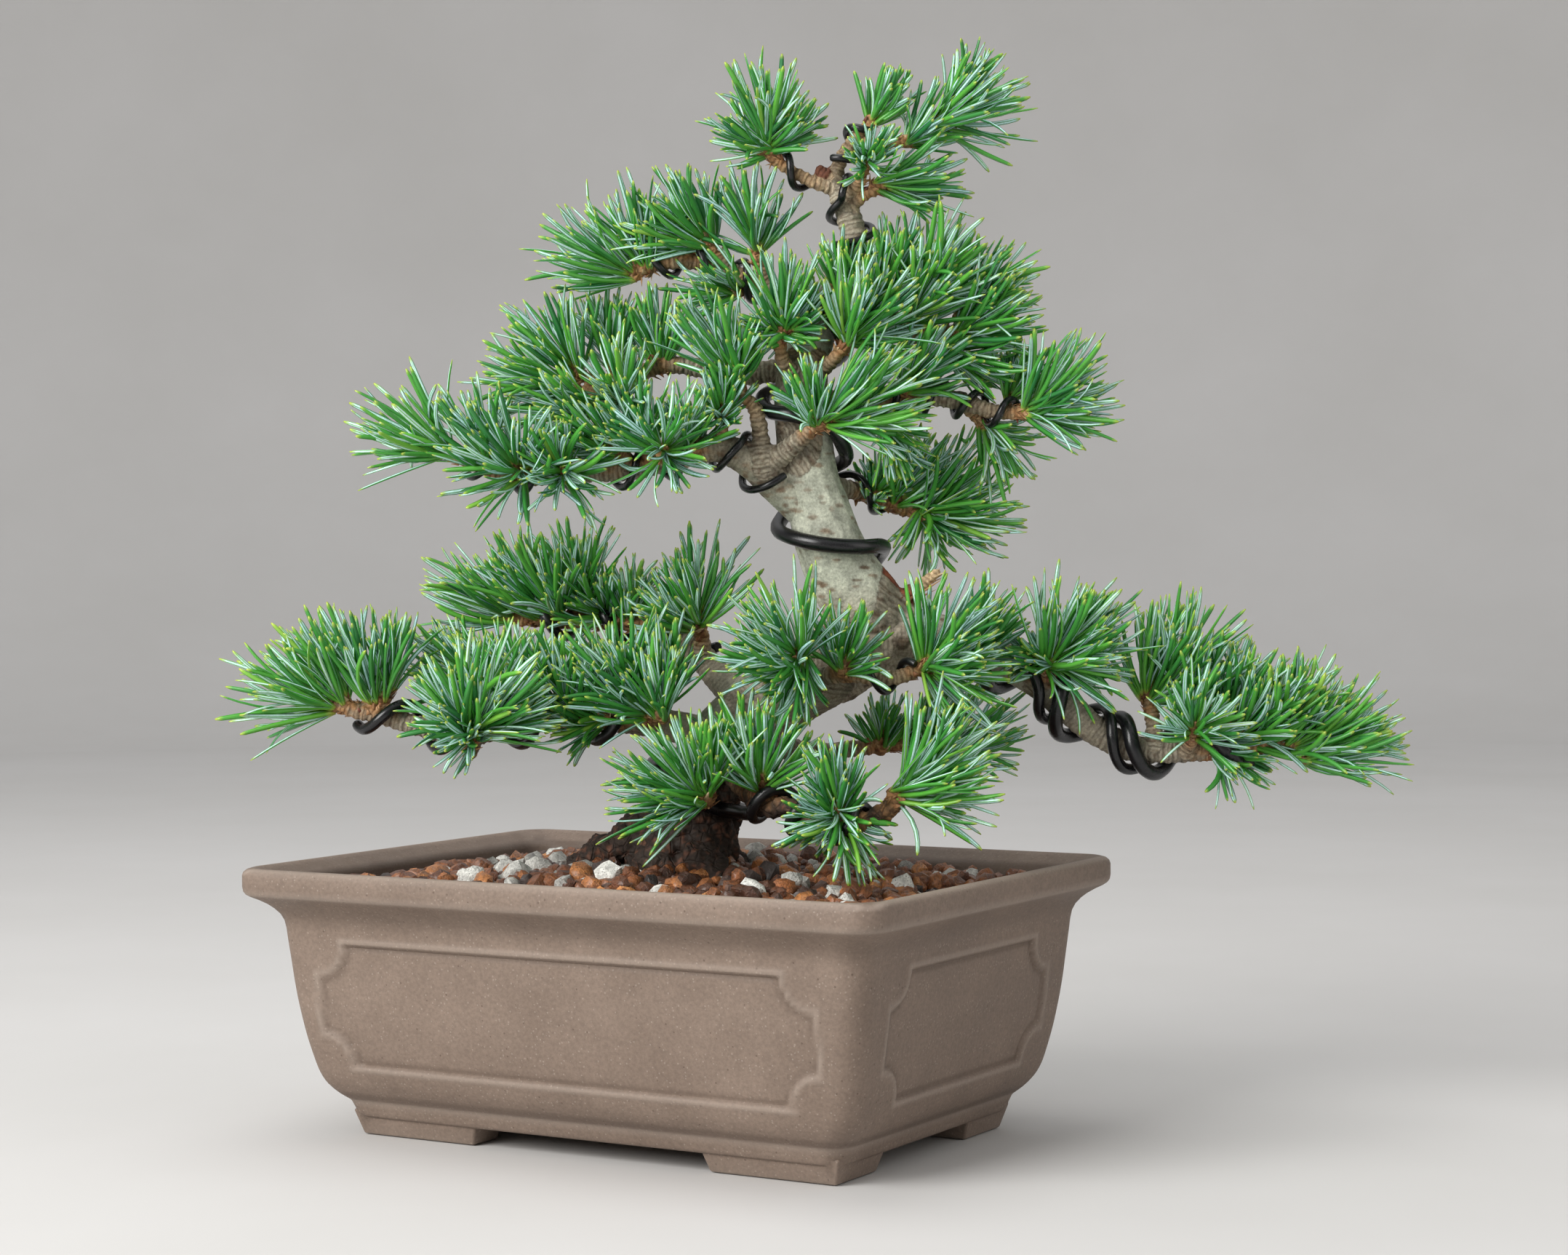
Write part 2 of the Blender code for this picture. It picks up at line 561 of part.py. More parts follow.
def inset_at(profile, height):
    """Inset of a profile at a height, between its two nearest points."""
    for (z0, inset0), (z1, inset1) in zip(profile, profile[1:]):
        low, high = min(z0, z1), max(z0, z1)
        if low <= height <= high and high > low:
            return inset0 + (inset1 - inset0) * (height - z0) / (z1 - z0)
    return profile[-1][1]


def pot_ring(height, inset):
    corner = max(RIM_CORNER - 0.18 * inset, 3.0)
    return rounded_rectangle(POT_LENGTH - 2 * inset, POT_WIDTH - 2 * inset, corner, height)


def panel_outline(half_width):
    """Panel corners with a rounded notch in each, as (across, up)."""
    points = []
    middle = (PANEL_LOW + PANEL_HIGH) / 2
    half_height = (PANEL_HIGH - PANEL_LOW) / 2
    for quarter, (sx, sy) in enumerate(((1, 1), (-1, 1), (-1, -1), (1, -1))):
        for step in range(5):
            angle = math.radians(90 * quarter + 270 - 90 * step / 4)
            x = sx * half_width + PANEL_NOTCH * math.cos(angle)
            y = middle + sy * half_height + PANEL_NOTCH * math.sin(angle)
            points.append((x, y))
    return points


def panel_cutters(core_rings):
    """Four prisms through the walls, less the body that the panels' floors follow."""
    neck_length = POT_LENGTH - 2 * NECK_INSET
    neck_width = POT_WIDTH - 2 * NECK_INSET
    cutters = []
    for side in (-1, 1):
        near, far = side * (POT_WIDTH / 2 - NECK_INSET - 12), side * POT_WIDTH / 2
        outline = panel_outline(neck_length / 2 - PANEL_MARGIN - 2)
        rings = [[Vector((x, y, z)) * MM for x, z in outline] for y in (near, far)]
        cutters.append(loft("cutter", rings))
        near, far = side * (POT_LENGTH / 2 - NECK_INSET - 12), side * POT_LENGTH / 2
        outline = panel_outline(neck_width / 2 - PANEL_MARGIN - 6)
        rings = [[Vector((x, y, z)) * MM for y, z in outline] for x in (near, far)]
        cutters.append(loft("cutter", rings))
    for cutter in cutters:
        combine(cutter, [loft("core", core_rings)], "DIFFERENCE")
    return cutters


def foot_cutters(length, width):
    """Slanted gaps between the feet, wider at the ground, along both axes."""
    slant = 3.5
    cutters = []
    for along_x, span, reach in (
        (True, length - 2 * FOOT_LONG, width),
        (False, width - 2 * FOOT_SHORT, length),
    ):
        profile = (
            (-span / 2 - 0.4, -1.0),
            (span / 2 + 0.4, -1.0),
            (span / 2 - slant, BAND_BOTTOM),
            (-span / 2 + slant, BAND_BOTTOM),
        )
        rings = []
        for end in (-reach, reach):
            if along_x:
                rings.append([Vector((a, end, z)) * MM for a, z in profile])
            else:
                rings.append([Vector((end, a, z)) * MM for a, z in profile])
        cutters.append(loft("cutter", rings))
    return cutters


def feet():
    """The ring under the pot, cut into four corner feet."""
    band = NECK_INSET + BELLY_INSET + BAND_TAPER
    length = POT_LENGTH - 2 * band
    width = POT_WIDTH - 2 * band
    outside = [
        rounded_rectangle(length - 2 * FOOT_INSET, width - 2 * FOOT_INSET, 3.0, 0.0),
        rounded_rectangle(length - 0.4, width - 0.4, 4.0, BAND_BOTTOM + 1.0),
    ]
    inside = [
        rounded_rectangle(length - 2 * FOOT_WALL, width - 2 * FOOT_WALL, 3.0, BAND_BOTTOM + 1.0),
        rounded_rectangle(length - 2 * FOOT_WALL, width - 2 * FOOT_WALL, 3.0, 0.0),
    ]
    ring = loft("feet", outside + inside, closed=True)
    combine(ring, foot_cutters(length, width), "DIFFERENCE")
    return ring


def drain_positions():
    return [-DRAIN_SPACING / 2, DRAIN_SPACING / 2]


def cylinder(name, radius, x, y, low, high, sides=16):
    rings = []
    for z in (low, high):
        ring = []
        for i in range(sides):
            angle = 2 * math.pi * i / sides
            ring.append(Vector((x + radius * math.cos(angle), y + radius * math.sin(angle), z)) * MM)
        rings.append(ring)
    return loft(name, rings)


def build_pot(finish):
    rings = [pot_ring(z, inset) for z, inset in outer_profile() + inner_profile()]
    pot = loft("pot", rings, finish)
    core = [pot_ring(z, inset + PANEL_DEPTH) for z, inset in outer_profile()[1:7]]
    combine(pot, panel_cutters(core), "DIFFERENCE")
    combine(pot, [feet()], "UNION")
    holes = [
        cylinder("drain", DRAIN_RADIUS, x, 0.0, -2.0, BAND_BOTTOM + FLOOR + 5.0)
        for x in drain_positions()
    ]
    combine(pot, holes, "DIFFERENCE")
    return pot


# The tree's frame, limbs and shoots


def in_pot(across, forward, up):
    """A point of the tree's frame as a world point: turned to the pot, then grown from the soil."""
    turn = math.radians(TREE_TURN)
    x = across * math.cos(turn) + forward * math.sin(turn)
    y = across * math.sin(turn) - forward * math.cos(turn)
    z = POT_HEIGHT - SOIL_CROWN_DROP + (up - TREE_BASE) * TREE_SIZE
    return Vector((x * TREE_SIZE, y * TREE_SIZE, z)) * MM


def limb_points(name):
    points = [(in_pot(s, t, z), r * TREE_SIZE * MM) for s, t, z, r in LIMBS[name]]
    return points


def smooth_points(points, steps):
    """Extra points between the given ones, on a curve through them all."""
    made = []
    last = len(points) - 1
    for i in range(last):
        before, start = points[max(i - 1, 0)], points[i]
        end, after = points[i + 1], points[min(i + 2, last)]
        for step in range(steps):
            u = step / steps
            place = (
                start[0] * 2
                + (end[0] - before[0]) * u
                + (before[0] * 2 - start[0] * 5 + end[0] * 4 - after[0]) * u**2
                + (start[0] * 3 - before[0] - end[0] * 3 + after[0]) * u**3
            ) / 2
            made.append((place, start[1] + (end[1] - start[1]) * u))
    made.append(points[last])
    return made


def frames_along(points):
    """A tangent and two sides at each point, turning as little as possible from one to the next."""
    tangents = []
    for i in range(len(points)):
        ahead = points[min(i + 1, len(points) - 1)][0]
        behind = points[max(i - 1, 0)][0]
        tangents.append((ahead - behind).normalized())
    side = tangents[0].orthogonal().normalized()
    frames = []
    for tangent in tangents:
        side = (side - tangent * side.dot(tangent)).normalized()
        frames.append((tangent, side, tangent.cross(side)))
    return frames


def tube(name, points, sides, extra=0.0, overrun=0.0, finish=None):
    """A tapered tube along points of (place, radius), its flats clear of that radius plus extra."""
    frames = frames_along(points)
    shape = bmesh.new()
    rings = []
    for i, ((place, radius), (tangent, side, up)) in enumerate(zip(points, frames)):
        if i == 0:
            place = place - tangent * overrun
        if i == len(points) - 1:
            place = place + tangent * overrun
        reach = radius
        if extra:
            reach = (radius + extra) / math.cos(math.pi / sides)
        ring = []
        for k in range(sides):
            angle = 2 * math.pi * k / sides
            ring.append(place + (side * math.cos(angle) + up * math.sin(angle)) * reach)
        rings.append(add_ring(shape, ring))
    for lower, upper in zip(rings, rings[1:]):
        bridge(shape, lower, upper)
    shape.faces.new(rings[0])
    shape.faces.new(rings[-1])
    return object_from_bmesh(name, shape, finish)


def limb_sides(name):
    thickest = max(point[3] for point in LIMBS[name])
    if thickest > 8:
        return 10
    return 7 if thickest > 5 else 5


def limb_steps(name):
    return 2 if limb_sides(name) > 5 else 1


def limb_line(name):
    return smooth_points(limb_points(name), limb_steps(name))


def build_wood(finish):
    names = list(LIMBS)
    pieces = [tube(name, limb_line(name), limb_sides(name)) for name in names]
    wood = pieces[0]
    combine(wood, pieces[1:], "UNION")
    wood.name = "trunk_and_branches"
    wood.data.materials.clear()
    wood.data.materials.append(finish)
    keep_largest(wood)
    return wood


def sleeves(names, gap):
    """Tubes round the limbs, to cut from what they pass through."""
    return [tube("sleeve", limb_line(n), limb_sides(n), gap * MM, gap * MM) for n in names]


def wire_frames(line):
    """At each point of a limb, the way to the tree's front and the way a quarter turn on."""
    forward = (in_pot(0, 1, 0) - in_pot(0, 0, 0)).normalized()
    frames = []
    for tangent, _, _ in frames_along(line):
        front = (forward - tangent * forward.dot(tangent)).normalized()
        frames.append((front, tangent.cross(front)))
    return frames


def wire_points(limb, radius, start, end, turns, first_angle):
    """Points of a helix that lies on a limb's bark. Angle 0 is the side towards the front."""
    line = smooth_points(limb_points(limb), 8)
    frames = wire_frames(line)
    lengths = [0.0]
    for (a, _), (b, _) in zip(line, line[1:]):
        lengths.append(lengths[-1] + (b - a).length)
    count = max(int(abs(turns) * WIRE_STEPS), 6)
    points = []
    for i in range(count + 1):
        share = i / count
        along = (start + (end - start) * share) * lengths[-1]
        k = max(j for j, length in enumerate(lengths) if length <= along)
        k = min(k, len(line) - 2)
        u = (along - lengths[k]) / (lengths[k + 1] - lengths[k])
        place = line[k][0].lerp(line[k + 1][0], u)
        bark = line[k][1] + (line[k + 1][1] - line[k][1]) * u
        front = frames[k][0].lerp(frames[k + 1][0], u).normalized()
        turned = frames[k][1].lerp(frames[k + 1][1], u).normalized()
        angle = math.radians(first_angle) + 2 * math.pi * turns * share
        reach = bark + (radius + CLEARANCE) * MM
        points.append(place + (front * math.cos(angle) + turned * math.sin(angle)) * reach)
    return points


def line_segments(line):
    """A tube's line of (place, radius) as an array of spans: start, end and their two radii."""
    return np.array([(*a, *b, first, last) for (a, first), (b, last) in zip(line, line[1:])])


def nearest_lack(place, radius, spans):
    """How much too near the tubes a wire at this place is, and the way out of the nearest."""
    start, way = spans[:, :3], spans[:, 3:6] - spans[:, :3]
    share = np.einsum("ij,ij->i", np.array(place) - start, way) / np.einsum("ij,ij->i", way, way)
    share = np.clip(share, 0.0, 1.0)
    out = np.array(place) - start - way * share[:, None]
    distance = np.linalg.norm(out, axis=1)
    tube_radius = spans[:, 6] + (spans[:, 7] - spans[:, 6]) * share
    lack = tube_radius + radius + CLEARANCE * MM - distance
    worst = int(lack.argmax())
    return float(lack[worst]), Vector(out[worst]) / max(float(distance[worst]), 1e-9)


def pushed_clear(points, radius, spans):
    """The wire's points, moved out wherever it would run into a limb or an earlier wire."""
    points = [place.copy() for place in points]
    for _ in range(PUSH_ROUNDS):
        for i in range(len(points) - 1):
            for share in (0.0, 0.25, 0.5, 0.75, 1.0):
                lack, out = nearest_lack(points[i].lerp(points[i + 1], share), radius, spans)
                if lack > 0:
                    points[i] += out * lack * (1 - share)
                    points[i + 1] += out * lack * share
    return points


def route_wires():
    """Every wire's points, clear of the wood and of the wires routed before it."""
    spans = np.concatenate([line_segments(smooth_points(limb_points(name), 4)) for name in LIMBS])
    routes = {}
    for name, (limb, radius, start, end, turns, first_angle) in WIRES.items():
        points = wire_points(limb, radius, start, end, turns, first_angle)
        routes[name] = pushed_clear(points, radius * MM, spans)
        line = [(place, radius * MM) for place in routes[name]]
        spans = np.concatenate([spans, line_segments(line)])
    return routes


def build_wire(name, points, finish):
    curve = bpy.data.curves.new(name, "CURVE")
    curve.dimensions = "3D"
    spline = curve.splines.new("POLY")
    spline.points.add(len(points) - 1)
    for target, place in zip(spline.points, points):
        target.co = (*place, 1.0)
    curve.bevel_depth = WIRES[name][1] * MM
    curve.bevel_resolution = 1
    curve.use_fill_caps = True
    curve.materials.append(finish)
    return new_object(name, curve)


def wire_sleeves(routes):
    """Tubes round the wires, to cut from foliage."""
    made = []
    for name, points in routes.items():
        line = [(place, WIRES[name][1] * MM) for place in points]
        made.append(tube("sleeve", line, 6, CLEARANCE * MM, CLEARANCE * MM))
    return made


# Foliage


def shoot_lump(shoot, grow=0.0):
    """The space that one shoot's needles fill: a six-sided bud-shaped solid."""
    (s, t, z), aim, length, spread = shoot
    bud = in_pot(s, t, z)
    axis = (in_pot(s + aim[0], t + aim[1], z + aim[2]) - bud).normalized()
    side = axis.orthogonal().normalized()
    up = axis.cross(side)
    reach = length * TREE_SIZE * MM
    grow = grow * MM
    half = math.radians(spread)
    shoulder = reach * max(math.cos(half) * 0.85, 0.3)
    wide = reach * math.sin(half) * 0.85 + grow
    rings = []
    for along, radius in ((0.12 * reach, 0.35 * wide + grow), (shoulder, wide)):
        ring = []
        for k in range(6):
            angle = math.pi * k / 3
            ring.append(bud + axis * along + (side * math.cos(angle) + up * math.sin(angle)) * radius)
        rings.append(ring)
    shape = bmesh.new()
    lower, upper = [add_ring(shape, ring) for ring in rings]
    bridge(shape, lower, upper)
    ends = (
        (shape.verts.new(bud - axis * (0.0015 + 2 * grow)), lower),
        (shape.verts.new(bud + axis * (reach * 0.95 + 2 * grow)), upper),
    )
    for tip, ring in ends:
        for i in range(6):
            shape.faces.new((ring[i], ring[(i + 1) % 6], tip))
    return object_from_bmesh("lump", shape)


def bounds_of(target):
    points = [target.matrix_world @ vertex.co for vertex in target.data.vertices]
    low = Vector([min(p[i] for p in points) for i in range(3)])
    high = Vector([max(p[i] for p in points) for i in range(3)])
    return low, high


def boxes_meet(first, second):
    return all(first[0][i] <= second[1][i] and second[0][i] <= first[1][i] for i in range(3))


def touching(candidates, area):
    """Of the objects given, those whose box meets the area. The others are removed."""
    kept = []
    for candidate in candidates:
        if boxes_meet(bounds_of(candidate), area):
            kept.append(candidate)
        else:
            bpy.data.objects.remove(candidate)
    return kept


def build_pad(name, earlier, routes, finish):
    lumps = [shoot_lump(shoot) for shoot in PADS[name]]
    pad = lumps[0]
    combine(pad, lumps[1:], "UNION")
    pad.name = name
    area = bounds_of(pad)
    cutters = touching(sleeves(LIMBS, SLEEVE_GAP) + wire_sleeves(routes), area)
    for other in earlier:
        cutters += touching([shoot_lump(shoot, CLEARANCE) for shoot in PADS[other]], area)
    combine(pad, cutters, "DIFFERENCE")
    keep_largest(pad)
    pad.data.materials.clear()
    pad.data.materials.append(finish)
    return pad


# Soil, screens and clips


def soil_height(x, y):
    """Surface of the soil: level near the pot's wall, mounded round the trunk."""
    edge = POT_HEIGHT - SOIL_EDGE_DROP
    top = POT_HEIGHT - SOIL_CROWN_DROP - 2 * CLEARANCE
    share = max(0.0, 1 - math.hypot(x, y) / SOIL_MOUND)
    lumps = 0.35 * math.sin(x * 0.31) * math.cos(y * 0.37)
    return edge + (top - edge) * share**0.8 + lumps


def build_soil(finish):
    """One body of soil that fills the pot, with a hollow for the roots and pockets over the screens."""
    inner = inner_profile()[2:]
    floor = BAND_BOTTOM + FLOOR + CLEARANCE
    rings = []
    for height in (floor, BAND_TOP + 12.0, POT_HEIGHT - NECK_DROP):
        rings.append(pot_ring(height, inset_at(inner, height) + 2 * CLEARANCE))
    rim = pot_ring(POT_HEIGHT - SOIL_EDGE_DROP, LIP_WIDTH + 3 * CLEARANCE)
    for share in (1.0, 0.82, 0.6, 0.36, 0.12):
        ring = []
        for point in rim:
            x, y = point.x / MM * share, point.y / MM * share
            ring.append(Vector((x, y, soil_height(x, y))) * MM)
        rings.append(ring)
    soil = loft("soil", rings, finish)
    cutters = sleeves([name for name in LIMBS if "root" in name or name == "lower_trunk"], 0.5)
    pocket = SCREEN_SIZE / 2 + 1.0
    for x in drain_positions():
        top = floor + SCREEN_THICKNESS + 2 * CLIP_RADIUS + 3 * CLEARANCE
        cutters.append(box("pocket", (x - pocket, -pocket, 0.0), (x + pocket, pocket, top)))
    combine(soil, cutters, "DIFFERENCE")
    keep_largest(soil)
    return soil


def build_screen(name, x, finish):
    """A square of plastic drain mesh on the pot's floor, over a drain hole."""
    low = BAND_BOTTOM + FLOOR + CLEARANCE
    half = SCREEN_SIZE / 2
    screen = box(name, (x - half, -half, low), (x + half, half, low + SCREEN_THICKNESS))
    cutters = []
    pitch = DRAIN_RADIUS - CLIP_LEG_GAP
    for i in range(SCREEN_HOLES):
        for j in range(SCREEN_HOLES):
            cx = x + (i - (SCREEN_HOLES - 1) / 2) * pitch
            cy = (j - (SCREEN_HOLES - 1) / 2) * pitch
            r = SCREEN_HOLE / 2
            cutters.append(box("hole", (cx - r, cy - r, low - 1), (cx + r, cy + r, low + 3)))
    combine(screen, cutters, "DIFFERENCE")
    screen.data.materials.clear()
    screen.data.materials.append(finish)
    return screen


def build_clip(name, x, finish):
    """A wire staple over the screen, its two legs down through mesh and drain hole."""
    top = BAND_BOTTOM + FLOOR + SCREEN_THICKNESS + 2 * CLEARANCE + CLIP_RADIUS
    half = DRAIN_RADIUS - CLIP_LEG_GAP
    low = top - CLIP_LEG
    route = (
        (-half, low),
        (-half, top - 1.0),
        (-half + 1.0, top),
        (half - 1.0, top),
        (half, top - 1.0),
        (half, low),
    )
    points = [(Vector((x + a, 0.0, z)) * MM, CLIP_RADIUS * MM) for a, z in route]
    return tube(name, points, 6, finish=finish)


def stand_on_origin(pieces):
    """Moves everything together so that the bottom centre of the whole box is the origin."""
    bpy.context.view_layer.update()
    graph = bpy.context.evaluated_depsgraph_get()
    lows, highs = [], []
    for piece in pieces:
        evaluated = piece.evaluated_get(graph)
        mesh = evaluated.to_mesh()
        points = [vertex.co for vertex in mesh.vertices]
        lows.append([min(p[i] for p in points) for i in range(3)])
        highs.append([max(p[i] for p in points) for i in range(3)])
        evaluated.to_mesh_clear()
    low = Vector([min(values[i] for values in lows) for i in range(3)])
    high = Vector([max(values[i] for values in highs) for i in range(3)])
    holder = bpy.data.objects.new("bonsai", None)
    bpy.context.scene.collection.objects.link(holder)
    for piece in pieces:
        piece.parent = holder
    holder.location = Vector((-(low.x + high.x) / 2, -(low.y + high.y) / 2, -low.z))


def main():
    for old in list(bpy.data.objects):
        bpy.data.objects.remove(old)
    clay = material("clay", (0.262, 0.202, 0.162), 0.72)
    grit = material("grit", (0.180, 0.082, 0.036), 0.80)
    bark = material("bark", (0.235, 0.195, 0.150), 0.85)
    foliage = material("foliage", (0.075, 0.205, 0.070), 0.45)
    wire = material("wire", (0.012, 0.012, 0.014), 0.32, 0.6)
    mesh_plastic = material("mesh_plastic", (0.020, 0.022, 0.022), 0.50)
    pieces = [build_pot(clay), build_soil(grit), build_wood(bark)]
    routes = route_wires()
    for name, points in routes.items():
        pieces.append(build_wire(name, points, wire))
    done = []
    for name in PADS:
        pieces.append(build_pad(name, done, routes, foliage))
        done.append(name)
    for side, x in zip(("left", "right"), drain_positions()):
        pieces.append(build_screen(f"drain_screen_{side}", x, mesh_plastic))
        pieces.append(build_clip(f"screen_clip_{side}", x, wire))
    stand_on_origin(pieces)


main()
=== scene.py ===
import math

import bpy
import numpy as np
from mathutils import Matrix, Vector, noise
from mathutils.kdtree import KDTree


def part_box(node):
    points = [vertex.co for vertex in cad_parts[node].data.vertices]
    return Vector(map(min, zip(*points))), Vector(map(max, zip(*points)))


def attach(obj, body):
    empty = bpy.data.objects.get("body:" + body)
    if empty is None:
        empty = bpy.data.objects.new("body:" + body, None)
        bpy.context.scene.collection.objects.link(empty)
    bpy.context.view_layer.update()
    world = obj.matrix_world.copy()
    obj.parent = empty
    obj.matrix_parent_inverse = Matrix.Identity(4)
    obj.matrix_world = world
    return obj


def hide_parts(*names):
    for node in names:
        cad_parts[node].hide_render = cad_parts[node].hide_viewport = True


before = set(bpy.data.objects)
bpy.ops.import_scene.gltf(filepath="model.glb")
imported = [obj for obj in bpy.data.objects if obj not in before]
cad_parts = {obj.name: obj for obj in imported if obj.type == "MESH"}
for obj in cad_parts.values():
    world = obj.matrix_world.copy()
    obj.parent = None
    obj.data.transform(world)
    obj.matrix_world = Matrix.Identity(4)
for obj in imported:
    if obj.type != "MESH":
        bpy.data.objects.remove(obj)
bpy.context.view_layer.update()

MM = 0.001
TREE_TURN = math.radians(31.0)  # from the pot's long side to the tree's front
DICE = np.random.default_rng(11)

pot_low, pot_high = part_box("pot")
POT_MIDDLE = Vector(((pot_low[0] + pot_high[0]) / 2, (pot_low[1] + pot_high[1]) / 2, pot_low[2]))
POT_LENGTH = (pot_high[0] - pot_low[0]) / MM
POT_WIDTH = (pot_high[1] - pot_low[1]) / MM

